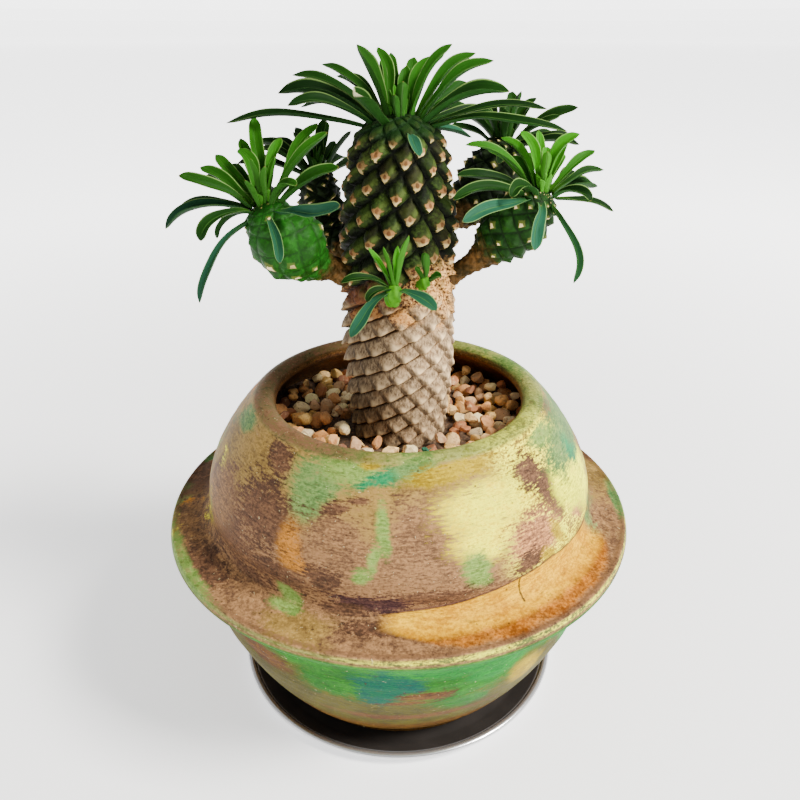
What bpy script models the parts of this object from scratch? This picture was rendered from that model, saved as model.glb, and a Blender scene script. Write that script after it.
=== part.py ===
"""Potted euphorbia: a thick scaly stem with four side branches and seven heads of strap leaves,
planted in gravel in a flanged, glazed pot that stands on a low steel saucer.

Metres, +Z up. The origin is the centre of the saucer's underside, and the front is -Y.
Sizes are given in millimetres and multiplied by MM where a point is made.
"""
import math
import random

import bmesh
import bpy
from mathutils import Matrix, Vector
from mathutils.bvhtree import BVHTree

MM = 0.001
GAP = 0.3                # air between two touching pieces
GOLDEN_TURN = math.radians(137.508)
UP = Vector((0.0, 0.0, 1.0))

# Saucer and pot: outlines as (radius, height), turned round the upright axis
ROUND_SIDES = 40
SAUCER_FLOOR = 1.2
SAUCER_OUTLINE = ((0, 0), (62, 0), (69.6, 3.4), (72.6, 3.7), (73.5, 4.9), (72.6, 6.0), (71.0, 6.0),
                  (69.2, 4.4), (61.7, SAUCER_FLOOR), (0, SAUCER_FLOOR))
POT_FOOT = SAUCER_FLOOR + GAP
POT_FLOOR = 8.5
DRAIN_RADIUS = 6.0
POT_OUTSIDE = ((DRAIN_RADIUS, POT_FOOT), (53, POT_FOOT), (57.6, 3.4), (64.9, 12), (73.3, 26), (82.8, 48),
               (86.2, 65), (91.5, 74.5), (97.4, 79.4), (98.5, 82.2), (97.2, 85.0), (92, 85.5), (86, 86.3),
               (81.6, 88.9), (80.3, 92.5), (80.9, 97), (79.6, 105), (75.4, 115), (67.6, 127), (60.5, 135.2),
               (55.5, 138.3), (51.6, 137.2), (50.4, 134.4))
POT_INSIDE = ((56.5, 128.6), (66.5, 117), (73.6, 101), (74.4, 80), (71.6, 52), (61.6, 25.5), (49, 11.5),
              (42, POT_FLOOR), (DRAIN_RADIUS, POT_FLOOR))
# The thrown flange rises a little at the front
FLANGE_ROOT = 84.0
FLANGE_RADIUS = 98.5
FLANGE_LIFT = 0.8

# Filling: soil, then a bed of gravel with a plain hole for the stem
SOIL_TOP = 119.0
GRAVEL_TOP = 123.0
WALL_GAP = 0.5            # air to the pot's wall, whose turned sides are flat
STEM_HOLE = 18.8
BED_HOLE = 22.4
STONE_PITCH = 8.8
STONES_ACROSS = 16
STONE_FIELD = (25.5, 56.5)          # radii between which a stone's middle lies
STONE_JITTER = 1.5
STONE_HEIGHT = (2.6, 5.6)
STONE_TOP = (0.5, 0.68)             # size of a stone's top against its foot
STONE_CLEFT = 0.5                   # half width of the cleft between two stones
STONE_LEAN = 0.28
STONE_SEED = 11

# Stem: (height, girth radius over the scales, height of the scales)
STEM_FORM = ((118, 20.4, 1.3), (126, 20.7, 1.4), (136, 22.0, 1.6), (150, 23.1, 1.7), (165, 23.4, 1.8),
             (180, 22.9, 2.2), (195, 22.8, 3.0), (207, 22.6, 3.3), (218, 21.2, 3.2), (228, 19.2, 2.8),
             (238, 15.8, 2.2))
STEM_SPIRALS = (8, 13)
SCALE_CLEFT = 0.3         # half width of the cleft between two scales
STEM_START = 120.6
STEM_TOP = 236.0
STEM_TOP_RADIUS = 14.2
STEM_TOP_BAND = 1.6       # plain band between the last scales and the flat top
STEM_FOOT = 80.0
STEM_FOOT_RADIUS = STEM_HOLE - GAP
LOW_RISE = 0.40           # climb from one scale to the next low on the stem, and high on it
HIGH_RISE = 0.54
RISE_CHANGE = (172.0, 197.0)
TIP_CROWDING = 0.62       # share by which the climb shrinks towards the growing tip
CROWDING_FROM = (221.0, 234.0)
STEM_TIP_DROP = 0.5
STEM_TIP_REACH = 1.5      # half width of a scale's blunt tip
STEM_FOOT_TAPER = 1.5

# Branches: points of the spine as (x, y, z), girth radius over the scales at each, scale height
BRANCH_SPIRALS = (5, 8)
BRANCH_RISE = 0.047       # climb from scale to scale as a share of the girth
BRANCHES = {
    "left": (((-24.6, -7.0, 190.0), 4.8), ((-30.5, -10.8, 193.5), 7.6), ((-36.0, -14.0, 199.0), 13.0),
             ((-42.0, -16.5, 206.0), 12.6), ((-45.6, -17.6, 211.5), 9.0)),
    "right": (((24.4, -2.6, 188.8), 3.6), ((30.5, -4.0, 193.6), 5.2), ((37.5, -6.0, 201.4), 10.6),
              ((43.5, -8.5, 208.4), 11.6), ((48.6, -11.0, 214.8), 9.0)),
    "back_left": (((-18.0, 16.6, 188.5), 4.2), ((-23.5, 19.5, 192.0), 7.0), ((-28.5, 20.5, 199.0), 9.0),
                  ((-30.5, 20.5, 208.0), 9.3), ((-31.0, 20.2, 216.0), 7.4)),
    "back_right": (((19.6, 14.9, 203.0), 4.8), ((26.0, 18.5, 206.5), 8.6), ((32.0, 21.5, 213.0), 11.4),
                   ((37.0, 23.3, 220.0), 11.4), ((40.0, 24.0, 226.6), 8.8)),
}
BRANCH_RELIEF = 1.9
BRANCH_FULL_GIRTH = 10.0  # girth from which a branch's scales have their full height
LEAST_GIRTH = 6.0         # girth below which scales get no smaller
BRANCH_TIP_REACH = 0.9
COLLAR_DEPTH = 7.0        # how far the stub of a branch is sunk into the stem
COLLAR_SIDES = 10
COLLAR_FLARE = 0.2        # how much wider a stub is than the branch it carries
BRANCH_BANDS = (1.2, 0.8)           # plain bands at the foot and the head of a branch
BRANCH_ENDS = (0.4, 1.6)            # how far its flat ends are drawn in from its girth
SHOOT_DEPTH = 5.0
SPINE_STEP = 0.25         # how far on either side of a point the spine's direction is taken

# Leaves: turn seen from above, reach and height of the tip from the head's centre, width,
# bow in degrees, and how far the face is turned to the light
LIGHT_FROM = Vector((0.35, -1.0, 0.35)).normalized()
LEAF_THICK = 0.9
LEAF_STATIONS = (0.0, 0.3, 0.62, 0.9)
LEAF_WIDTH_SHARE = ((0.0, 0.42), (0.3, 0.64), (0.64, 1.0), (0.9, 0.70), (1.0, 0.2))
CHANNEL = 0.34            # rise of a leaf's edges against its half width
ROOT_SPREAD = 0.6         # where roots stand on a head's core, as shares of its radius and height
ROOT_CLIMB = 0.34
TIP_BOW = 1.3             # bow at the tip against that at the root
ROOT_HANDLE = 0.36        # reach of the curve's handles as shares of the leaf's length
TIP_HANDLE = 0.34
FULL_TURN_AT = 0.4        # share of the leaf by which its face has turned to the light
CROWN_LEAVES = (
    (-156, 15, 27, 6.4, 10, 46), (101, 14, 24, 5.0, 5, 15), (108, 19, 22, 5.0, 10, 15),
    (145, 34, 20, 5.5, 26, 15), (168, 38, 17, 6.3, 26, 21), (155, 38, 13, 5.9, 24, 16),
    (-174, 41, 12, 6.7, 30, 26), (-159, 39, 9, 6.7, 26, 26), (-172, 59, 3, 4.0, 14, 22),
    (-123, 26, 14, 7.2, 4, 34), (-79, 8, 16, 5.0, 3, 8), (73, 10, 20, 5.0, 6, 8),
    (-6, 18, 27, 6.7, 22, 30), (37, 20, 24, 5.9, 20, 19), (17, 28, 24, 5.9, 22, 24),
    (4, 32, 22, 6.3, 24, 27), (41, 33, 14, 5.9, 8, 38), (-15, 38, 13, 6.7, 26, 27),
    (-4, 51, 7, 4.7, 16, 30), (-14, 58, 1, 4.4, 16, 27), (-76, 28, -5, 4.9, 20, 22),
    (140, 37, 9, 5.9, 20, 15), (22, 29, -4, 4.6, 14, 15), (-98, 9, 12, 3.4, 3, 8),
)
LEFT_LEAVES = (
    (-167, 27, 13, 5.5, 12, 36), (169, 22, 14, 5.2, 10, 30), (151, 21, 17, 4.7, 8, 32),
    (122, 17, 22, 4.7, 6, 38), (104, 17, 29, 5.4, 4, 46), (52, 10, 23, 4.6, 14, 22),
    (-5, 23, 26, 4.9, 16, 27), (38, 23, 27, 4.6, 10, 26), (-17, 28, 16, 5.2, 14, 39),
    (-173, 34, -5, 5.5, 38, 22), (170, 35, -5, 5.0, 34, 16), (-139, 25, -6, 5.5, 50, 22),
    (162, 20, -11, 4.2, 45, 16), (-153, 26, -29, 4.0, 25, 26), (-23, 40, 8, 5.9, -6, 46),
    (-59, 23, -12, 4.0, 30, 26), (-118, 9, 12, 2.9, 6, 15), (-132, 4, 18, 2.7, 4, 15),
    (-68, 6, 16, 3.2, 4, 15), (20, 5, 18, 2.7, 8, 15), (-43, 18, 11, 4.0, 45, 26),
)
RIGHT_LEAVES = (
    (-172, 28, 18, 4.5, 32, 26), (157, 16, 19, 4.4, 30, 22), (-160, 35, 2, 5.2, 24, 27),
    (178, 31, 6, 4.7, 18, 26), (-149, 38, -3, 5.7, 8, 42), (-130, 20, 3, 4.9, 62, 30),
    (-103, 22, -13, 5.7, 25, 38), (-48, 17, -27, 3.7, 38, 27), (-9, 25, -4, 4.0, 16, 22),
    (-36, 18, 1, 4.4, 55, 26), (19, 24, 8, 3.5, 22, 22), (31, 23, 14, 4.4, 14, 26),
    (0, 11, 21, 5.2, 35, 34), (37, 10, 19, 4.4, 6, 22), (-80, 4, 16, 4.0, 8, 9),
    (135, 11, 21, 4.7, 26, 27), (89, 18, 20, 4.0, 10, 15), (142, 23, 14, 4.4, 16, 22),
)
BACK_LEFT_LEAVES = (
    (-153, 9, 17, 4.9, 12, 30), (52, 5, 21, 4.4, 6, 22), (-35, 17, 18, 4.9, 10, 30),
    (59, 12, 12, 4.4, 10, 22), (111, 13, 14, 4.4, 10, 22), (-169, 30, 6, 4.6, 20, 27),
)
BACK_RIGHT_LEAVES = (
    (-147, 11, 16, 4.9, 12, 30), (-114, 15, 16, 5.5, 12, 38), (-42, 6, 20, 4.9, 5, 38),
    (0, 27, 14, 5.5, 14, 38), (-29, 21, 12, 4.9, 14, 26), (44, 14, 14, 4.4, 8, 22),
    (137, 12, 11, 4.4, 14, 22), (-175, 21, 8, 4.6, 16, 26), (-98, 23, -3, 4.4, 24, 26),
    (-60, 20, 1, 4.6, 22, 26),
)
SHOOT_LEAVES = {
    "sprout": (
        (-39, 6, 20, 3.0, 6, 30), (60, 2, 15, 2.6, 4, 20), (-140, 5, 16, 2.4, 4, 30),
        (-174, 9, 15, 2.8, 4, 40), (-164, 19, 4, 3.8, 35, 30), (-142, 12, -2, 3.6, 50, 30),
        (-27, 16, -5, 5.2, 20, 50), (-155, 17, -15, 5.2, 20, 50),
    ),
    "bud": ((-100, 1.5, 11, 3.8, 3, 10), (-19, 6, 3, 3.2, 12, 30), (-150, 4, 6, 2.8, 8, 20)),
}
# The far side of a head: leaves, first and last turn, and how far they reach
HEADS = {
    "crown": (Vector((0.0, 0.0, 238.0)), CROWN_LEAVES, (12, 25, 160, 42)),
    "leaves_left": (Vector((-46.0, -18.0, 213.5)), LEFT_LEAVES, (5, 60, 165, 30)),
    "leaves_right": (Vector((50.0, -12.0, 217.0)), RIGHT_LEAVES, (6, 20, 125, 28)),
    "leaves_back_left": (Vector((-31.2, 20.0, 218.2)), BACK_LEFT_LEAVES, (9, 45, 215, 29)),
    "leaves_back_right": (Vector((40.8, 24.2, 229.0)), BACK_RIGHT_LEAVES, (8, -15, 150, 30)),
}
FAR_LEAF_WIDTH = 5.4
LEAF_SEED = 5
SWINGS = (0, 4, -4, 8, -8, 12, -12, 17, -17, 22, -22)
LIFTS = (0, 2.5, -2.5)
FREE_FROM = 0.3           # share of a leaf from which it stands clear of its own head's leaves
FREE_AIR = 0.5

# Storeys of a head's far side: share of the reach that a tip lies out, and up
STOREYS = ((0.95, 0.10), (0.74, 0.40), (0.40, 0.56))
STOREY_SPREAD = 0.06
GOLDEN_SHARE = 0.618034
FAR_LEAF_BOW = 18
FAR_LEAF_FACE = 15

# Head cores: radius at the foot, radius at the top, height
CROWN_CORE = (13.6, 5.0, 7.2)
BRANCH_CORE = (7.0, 3.2, 5.5)
CROWN_SIDES = 16
CORE_SIDES = 10
CORE_RIDGE = 0.13

# Small shoots on the stem's front: foot, head, radius at each
SHOOTS = {
    "sprout": (Vector((-2.0, -24.9, 183.4)), Vector((-1.2, -28.6, 190.0)), 2.3, 3.1),
    "bud": (Vector((8.2, -23.5, 188.4)), Vector((9.2, -26.4, 192.0)), 1.7, 2.1),
}
SHOOT_SIDES = 8
SHOOT_BEND = 1.6          # how far out a shoot has turned half upright
SHOOT_HEART = 2.0         # depth of the head that a shoot's leaves spring from

# Colours: red, green, blue, roughness, metallic
FINISHES = {
    "steel": (0.32, 0.31, 0.30, 0.35, 1.0),
    "glaze": (0.42, 0.38, 0.16, 0.55, 0.0),
    "soil": (0.06, 0.04, 0.03, 0.95, 0.0),
    "gravel": (0.52, 0.36, 0.22, 0.85, 0.0),
    "bark": (0.30, 0.24, 0.17, 0.80, 0.0),
    "branch_skin": (0.06, 0.16, 0.04, 0.55, 0.0),
    "leaf": (0.05, 0.22, 0.04, 0.45, 0.0),
    "young_leaf": (0.20, 0.42, 0.05, 0.45, 0.0),
}


def material(name):
    """The Principled finish of a kind of piece."""
    found = bpy.data.materials.get(name)
    if found:
        return found
    red, green, blue, rough, metal = FINISHES[name]
    new = bpy.data.materials.new(name)
    new.use_nodes = True
    shader = new.node_tree.nodes["Principled BSDF"]
    shader.inputs["Base Color"].default_value = (red, green, blue, 1.0)
    shader.inputs["Roughness"].default_value = rough
    shader.inputs["Metallic"].default_value = metal
    return new


def finished(name, bm, finish, smooth=None):
    """An object from a bmesh, with its faces outwards and its finish on."""
    bmesh.ops.recalc_face_normals(bm, faces=bm.faces)
    mesh = bpy.data.meshes.new(name)
    bm.to_mesh(mesh)
    bm.free()
    if smooth:
        mesh.shade_smooth()
        mesh.set_sharp_from_angle(angle=math.radians(smooth))
    mesh.materials.append(material(finish))
    made = bpy.data.objects.new(name, mesh)
    bpy.context.scene.collection.objects.link(made)
    return made


def largest_body(bm):
    """Only the body with the most faces stays: sealed hollows and loose scraps go."""
    waiting = set(bm.faces)
    bodies = []
    while waiting:
        body = set()
        front = [waiting.pop()]
        while front:
            face = front.pop()
            body.add(face)
            for edge in face.edges:
                for other in edge.link_faces:
                    if other in waiting:
                        waiting.discard(other)
                        front.append(other)
        bodies.append(body)
    bodies.sort(key=len)
    spare = [face for body in bodies[:-1] for face in body]
    bmesh.ops.delete(bm, geom=spare, context="FACES")


def fuse(base, pieces):
    """One Boolean union joins the pieces to the base, and the pieces are removed."""
    group = bpy.data.collections.new(base.name + "_pieces")
    bpy.context.scene.collection.children.link(group)
    for piece in pieces:
        group.objects.link(piece)
    joint = base.modifiers.new("union", "BOOLEAN")
    joint.operation = "UNION"
    joint.operand_type = "COLLECTION"
    joint.collection = group
    joint.solver = "EXACT"
    seen = base.evaluated_get(bpy.context.evaluated_depsgraph_get())
    mesh = bpy.data.meshes.new_from_object(seen)
    base.modifiers.clear()
    bm = bmesh.new()
    bm.from_mesh(mesh)
    largest_body(bm)
    bm.to_mesh(mesh)
    bm.free()
    old = base.data
    base.data = mesh
    bpy.data.meshes.remove(old)
    mesh.name = base.name
    for piece in pieces:
        bpy.data.objects.remove(piece)
    bpy.data.collections.remove(group)
    return base


def turned(name, outline, finish, closed=False, smooth=35):
    """A body turned round the upright axis from an outline of (radius, height) points."""
    bm = bmesh.new()
    line = [bm.verts.new((radius * MM, 0.0, height * MM)) for radius, height in outline]
    pairs = list(zip(line, line[1:]))
    if closed:
        pairs.append((line[-1], line[0]))
    edges = [bm.edges.new(pair) for pair in pairs]
    bmesh.ops.spin(bm, geom=line + edges, axis=(0, 0, 1), cent=(0, 0, 0), dvec=(0, 0, 0),
                   angle=math.tau, steps=ROUND_SIDES, use_merge=True, use_duplicate=False)
    bmesh.ops.remove_doubles(bm, verts=bm.verts, dist=1e-6)
    return finished(name, bm, finish, smooth)


def curve_value(knots, place):
    """The smooth curve through (place, value) knots, read at one place."""
    if place <= knots[0][0]:
        return knots[0][1]
    if place >= knots[-1][0]:
        return knots[-1][1]
    last = len(knots) - 1
    low = max(i for i in range(last) if knots[i][0] <= place)

    def slope(i):
        before, after = knots[max(i - 1, 0)], knots[min(i + 1, last)]
        return (after[1] - before[1]) / (after[0] - before[0])

    span = knots[low + 1][0] - knots[low][0]
    t = (place - knots[low][0]) / span
    start, end = knots[low][1], knots[low + 1][1]
    return ((2 * t ** 3 - 3 * t ** 2 + 1) * start + (t ** 3 - 2 * t ** 2 + t) * span * slope(low)
            + (3 * t ** 2 - 2 * t ** 3) * end + (t ** 3 - t ** 2) * span * slope(low + 1))


def between(values, place):
    """A list of values read at a place between two of its numbers."""
    whole = min(int(place), len(values) - 2)
    return values[whole] + (values[whole + 1] - values[whole]) * (place - whole)


def smooth_step(value):
    value = min(max(value, 0.0), 1.0)
    return value * value * (3 - 2 * value)


def step_between(limits, value):
    return smooth_step((value - limits[0]) / (limits[1] - limits[0]))


def make_saucer():
    return turned("saucer", SAUCER_OUTLINE, "steel")


def flange_lift(x, y):
    """How far the flange's rim stands up, most at the front."""
    radius = math.hypot(x, y)
    share = (radius / MM - FLANGE_ROOT) / (FLANGE_RADIUS - FLANGE_ROOT)
    front = max(0.0, -y / max(radius, MM))
    return FLANGE_LIFT * MM * max(0.0, share) * front ** 2


def make_pot():
    pot = turned("pot", POT_OUTSIDE + POT_INSIDE, "glaze", closed=True)
    for vertex in pot.data.vertices:
        vertex.co.z += flange_lift(vertex.co.x, vertex.co.y)
    return pot


def inner_wall(height):
    """Radius of the filling, a gap inside the pot's inner wall, at a height."""
    wall = sorted((z, radius) for radius, z in POT_OUTSIDE[-1:] + POT_INSIDE[:-1])
    for (low, first), (high, second) in zip(wall, wall[1:]):
        if low <= height <= high:
            slant = (second - first) / (high - low)
            return first + slant * (height - low) - WALL_GAP * math.hypot(1.0, slant)
    raise ValueError("no wall at this height")


def make_soil():
    floor = POT_FLOOR + GAP
    levels = (floor, 11.5, 25.5, 52, 80, 101, 117, SOIL_TOP)
    outline = [(0, floor)] + [(inner_wall(level), level) for level in levels]
    outline += [(STEM_HOLE, SOIL_TOP), (STEM_HOLE, STEM_FOOT - GAP), (0, STEM_FOOT - GAP)]
    return turned("soil", outline, "soil")


def make_gravel():
    """A bed of gravel: a plate with the stem's hole, each cell of its top drawn up to a stone."""
    chance = random.Random(STONE_SEED)
    low = SOIL_TOP + GAP
    rim = inner_wall(GRAVEL_TOP)
    across = STONE_PITCH * STONES_ACROSS
    bm = bmesh.new()
    bmesh.ops.create_grid(bm, x_segments=STONES_ACROSS, y_segments=STONES_ACROSS, size=across / 2)
    outside = [face for face in bm.faces
               if not STONE_FIELD[0] < face.calc_center_median().length < STONE_FIELD[1]]
    bmesh.ops.delete(bm, geom=outside, context="FACES")
    for vertex in bm.verts:
        angle = math.atan2(vertex.co.y, vertex.co.x)
        if vertex.is_boundary:
            radius = BED_HOLE if vertex.co.length < sum(STONE_FIELD) / 2 else rim
            vertex.co = Vector((radius * math.cos(angle), radius * math.sin(angle), 0.0))
        else:
            vertex.co += Vector((chance.uniform(-1, 1), chance.uniform(-1, 1), 0.0)) * STONE_JITTER
        vertex.co.z = GRAVEL_TOP
    cells = list(bm.faces)
    bmesh.ops.inset_individual(bm, faces=cells, thickness=STONE_CLEFT, depth=0.0, use_even_offset=True)
    for face in cells:
        middle = face.calc_center_median()
        height = chance.uniform(*STONE_HEIGHT)
        share = chance.uniform(*STONE_TOP)
        lean = Vector((chance.uniform(-1, 1), chance.uniform(-1, 1)))
        for vertex in face.verts:
            offset = vertex.co - middle
            vertex.co = middle + offset * share
            vertex.co.z += height + offset.xy.dot(lean) * STONE_LEAN
            room = inner_wall(vertex.co.z)
            if vertex.co.xy.length > room:
                vertex.co.xy *= room / vertex.co.xy.length
    bmesh.ops.triangulate(bm, faces=bm.faces)
    edges = [edge for edge in bm.edges if edge.is_boundary]
    walls = bmesh.ops.extrude_edge_only(bm, edges=edges)["geom"]
    for vertex in [part for part in walls if isinstance(part, bmesh.types.BMVert)]:
        if vertex.co.xy.length > sum(STONE_FIELD) / 2:
            vertex.co.xy *= inner_wall(low) / rim
        vertex.co.z = low
    bottom = [part for part in walls if isinstance(part, bmesh.types.BMEdge) and part.is_boundary]
    bmesh.ops.triangle_fill(bm, edges=bottom, use_beauty=True)
    bmesh.ops.scale(bm, verts=bm.verts, vec=(MM, MM, MM))
    return finished("gravel", bm, "gravel")


def spiral_skin(spirals, last, place):
    """A skin of four-sided cells, one for each scale of a golden spiral.

    A grid is wound round so that its two directions are the two families of spirals: a corner
    with number n lies n golden turns round. place(turn, number, out) gives its point.
    """
    few, many = spirals
    columns = last // few + many + 2
    bm = bmesh.new()
    bmesh.ops.create_grid(bm, x_segments=columns, y_segments=few, size=1.0)
    number = bm.verts.layers.int.new("number")
    for vertex in bm.verts:
        column = round((vertex.co.x + 1) / 2 * columns) - many
        row = round((vertex.co.y + 1) / 2 * few)
        vertex[number] = few * column + many * row
    outside = [face for face in bm.faces
               if min(v[number] for v in face.verts) < 0 or max(v[number] for v in face.verts) > last]
    bmesh.ops.delete(bm, geom=outside, context="FACES")
    for vertex in bm.verts:
        vertex.co = place(vertex[number] * GOLDEN_TURN, vertex[number], 0.0)
    bmesh.ops.remove_doubles(bm, verts=bm.verts, dist=1e-6)
    return bm, number


def raise_scales(bm, number, place, spirals, share, drop):
    """Each cell is drawn out to a small flat tip over its middle."""
    cells = list(bm.faces)
    firsts = {face: min(v[number] for v in face.verts) for face in cells}
    across = math.remainder(sum(spirals) * GOLDEN_TURN, math.tau) / 2
    bmesh.ops.inset_individual(bm, faces=cells, thickness=SCALE_CLEFT * MM, depth=0.0,
                               use_even_offset=True)
    for face in cells:
        turn = firsts[face] * GOLDEN_TURN + across
        middle = firsts[face] + sum(spirals) / 2
        foot = place(turn, middle, 0.0)
        tip = place(turn, middle, 1.0) - drop
        outward = [vertex.co - foot for vertex in face.verts]
        reach = share / max(offset.length for offset in outward)
        for vertex, offset in zip(face.verts, outward):
            vertex.co = tip + offset * reach


def close_end(bm, number, lower, point, rings):
    """The open end is drawn in to level rings and capped. point(turn, ring) gives the points."""
    middle = sum(vertex[number] for vertex in bm.verts) / len(bm.verts)
    edge_loop = [edge for edge in bm.edges if edge.is_boundary
                 and (min(v[number] for v in edge.verts) < middle) == lower]
    for ring in rings:
        grown = bmesh.ops.extrude_edge_only(bm, edges=edge_loop)["geom"]
        edge_loop = [part for part in grown if isinstance(part, bmesh.types.BMEdge)
                     and part.is_boundary]
        for vertex in {v for edge in edge_loop for v in edge.verts}:
            vertex.co = point(vertex[number], ring)
    bmesh.ops.holes_fill(bm, edges=edge_loop, sides=0)


def outward(point):
    """The level direction from the upright axis to a point."""
    return Vector((point.x, point.y, 0.0)).normalized()


def stem_heights():
    """Height of each corner number on the stem: scales stand closer low down and at the tip."""
    heights = [STEM_START]
    while heights[-1] < STEM_TOP - STEM_TOP_BAND:
        change = step_between(RISE_CHANGE, heights[-1])
        crowding = 1.0 - TIP_CROWDING * step_between(CROWDING_FROM, heights[-1])
        heights.append(heights[-1] + (LOW_RISE + (HIGH_RISE - LOW_RISE) * change) * crowding)
    return heights


def collar(name, spine, first_radius, depth, sides):
    """A stub on the stem that carries a branch. Its flat end is a gap short of the branch."""
    start, after = spine
    way = (after - start).normalized()
    end = start - way * GAP
    foot = start - way * depth
    bm = bmesh.new()
    turn = UP.rotation_difference(way).to_matrix().to_4x4()
    middle = Matrix.Translation((foot + end) / 2 * MM) @ turn
    bmesh.ops.create_cone(bm, cap_ends=True, segments=sides, radius1=first_radius * MM,
                          radius2=(first_radius + COLLAR_FLARE) * MM, depth=(end - foot).length * MM,
                          matrix=middle)
    return finished(name, bm, "bark")


def branch_start(name):
    """First point of a branch and the way it sets out."""
    spine = [Vector(point) for point, girth in BRANCHES[name]]
    return spine[0], spine[0] + spine_way(spine, 0)


def spine_way(spine, index):
    """Direction of a smooth spine at one of its points."""
    before, after = spine[max(index - 1, 0)], spine[min(index + 1, len(spine) - 1)]
    if index == 0:
        return ((spine[1] - spine[0]) * 1.5 - (spine[2] - spine[0]) * 0.25).normalized()
    return (after - before).normalized()


def make_stem():
    heights = stem_heights()
    girths = [(height, girth) for height, girth, relief in STEM_FORM]
    reliefs = [(height, relief) for height, girth, relief in STEM_FORM]

    def place(turn, number, out):
        height = between(heights, number)
        radius = curve_value(girths, height) - curve_value(reliefs, height) * (1 - out)
        return Vector((radius * math.cos(turn), radius * math.sin(turn), height)) * MM

    def ring_point(number, ring):
        radius, height = ring
        angle = number * GOLDEN_TURN
        return Vector((radius * math.cos(angle), radius * math.sin(angle), height)) * MM

    bm, number = spiral_skin(STEM_SPIRALS, len(heights) - 1, place)
    raise_scales(bm, number, place, STEM_SPIRALS, STEM_TIP_REACH * MM, UP * STEM_TIP_DROP * MM)
    close_end(bm, number, True, ring_point,
              ((STEM_FOOT_RADIUS, SOIL_TOP), (STEM_FOOT_RADIUS - STEM_FOOT_TAPER, STEM_FOOT)))
    close_end(bm, number, False, ring_point, ((STEM_TOP_RADIUS, STEM_TOP),))
    stem = finished("stem", bm, "bark")
    stubs = []
    for name, points in BRANCHES.items():
        stubs.append(collar("stub_" + name, branch_start(name), points[0][1], COLLAR_DEPTH, COLLAR_SIDES))
    for name, (foot, head, radius, head_radius) in SHOOTS.items():
        stubs.append(collar("stub_" + name, (foot, foot + outward(foot)), radius, SHOOT_DEPTH, SHOOT_SIDES))
    return fuse(stem, stubs)


def make_branch(name):
    """A short swollen branch covered in scales, flat where it meets the stem and its leaves."""
    points = [Vector(point) for point, girth in BRANCHES[name]]
    lengths = [0.0]
    for first, second in zip(points, points[1:]):
        lengths.append(lengths[-1] + (second - first).length)
    total = lengths[-1]
    girths = [(length, girth) for length, (point, girth) in zip(lengths, BRANCHES[name])]
    axes = [[(length, point[axis]) for length, point in zip(lengths, points)] for axis in range(3)]

    def spine(length):
        return Vector([curve_value(knots, length) for knots in axes])

    def frame(length):
        first, second = max(length - SPINE_STEP, 0.0), min(length + SPINE_STEP, total)
        way = (spine(second) - spine(first)).normalized()
        if length <= 0.0:
            start, along = branch_start(name)
            way = (along - start).normalized()
        side = way.cross(UP).normalized()
        return spine(length), side, way.cross(side)

    heights = [BRANCH_BANDS[0]]
    while heights[-1] < total - BRANCH_BANDS[1]:
        girth = curve_value(girths, heights[-1])
        heights.append(heights[-1] + BRANCH_RISE * max(girth, LEAST_GIRTH))

    def place(turn, number, out):
        length = between(heights, number)
        girth = curve_value(girths, length)
        relief = BRANCH_RELIEF * min(1.0, girth / BRANCH_FULL_GIRTH)
        centre, side, other = frame(length)
        return (centre + (side * math.cos(turn) + other * math.sin(turn))
                * (girth - relief * (1 - out))) * MM

    def ring_point(number, ring):
        radius, length = ring
        centre, side, other = frame(length)
        angle = number * GOLDEN_TURN
        return (centre + (side * math.cos(angle) + other * math.sin(angle)) * radius) * MM

    bm, number = spiral_skin(BRANCH_SPIRALS, len(heights) - 1, place)
    raise_scales(bm, number, place, BRANCH_SPIRALS, BRANCH_TIP_REACH * MM, Vector())
    close_end(bm, number, True, ring_point, ((girths[0][1] - BRANCH_ENDS[0], 0.0),))
    close_end(bm, number, False, ring_point, ((girths[-1][1] - BRANCH_ENDS[1], total),))
    return finished("branch_" + name, bm, "branch_skin")


def bezier(points, t):
    """Place and direction on a cubic curve."""
    a, b, c, d = points
    s = 1 - t
    place = a * s ** 3 + b * 3 * s * s * t + c * 3 * s * t * t + d * t ** 3
    way = (b - a) * 3 * s * s + (c - b) * 6 * s * t + (d - c) * 3 * t * t
    return place, way.normalized()


def leaf_line(head, leaf, core, swing=0.0, lift=0.0):
    """Middle line of a leaf: it sets out steeper than its chord and ends lower."""
    turn, out, up, _, bow, _ = leaf
    angle = math.radians(turn + swing)
    radial = Vector((math.cos(angle), math.sin(angle), 0.0))
    tip = head + radial * out + UP * (up + lift)
    climb = math.atan2(up + lift, out)
    root = (head + radial * (core[0] * ROOT_SPREAD * math.cos(climb))
            + UP * (core[2] * ROOT_CLIMB * math.sin(climb)))
    chord = tip - root
    climb = math.atan2(chord.z, chord.dot(radial))
    length = chord.length
    start = climb + math.radians(bow)
    end = climb - math.radians(bow) * TIP_BOW
    first = root + (radial * math.cos(start) + UP * math.sin(start)) * length * ROOT_HANDLE
    second = tip - (radial * math.cos(end) + UP * math.sin(end)) * length * TIP_HANDLE
    return (root, first, second, tip), radial


def leaf_frame(line, radial, face, t):
    """Place, side and face directions on a leaf, with the face turned towards the light."""
    place, way = bezier(line, t)
    side = Vector((-radial.y, radial.x, 0.0))
    normal = way.cross(side)
    wanted = LIGHT_FROM - way * LIGHT_FROM.dot(way)
    angle = math.atan2(way.dot(normal.cross(wanted)), normal.dot(wanted))
    limit = math.radians(face) * smooth_step(t / FULL_TURN_AT)
    normal = Matrix.Rotation(max(-limit, min(limit, angle)), 3, way) @ normal
    return place, way.cross(normal).normalized(), normal.normalized()


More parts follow.
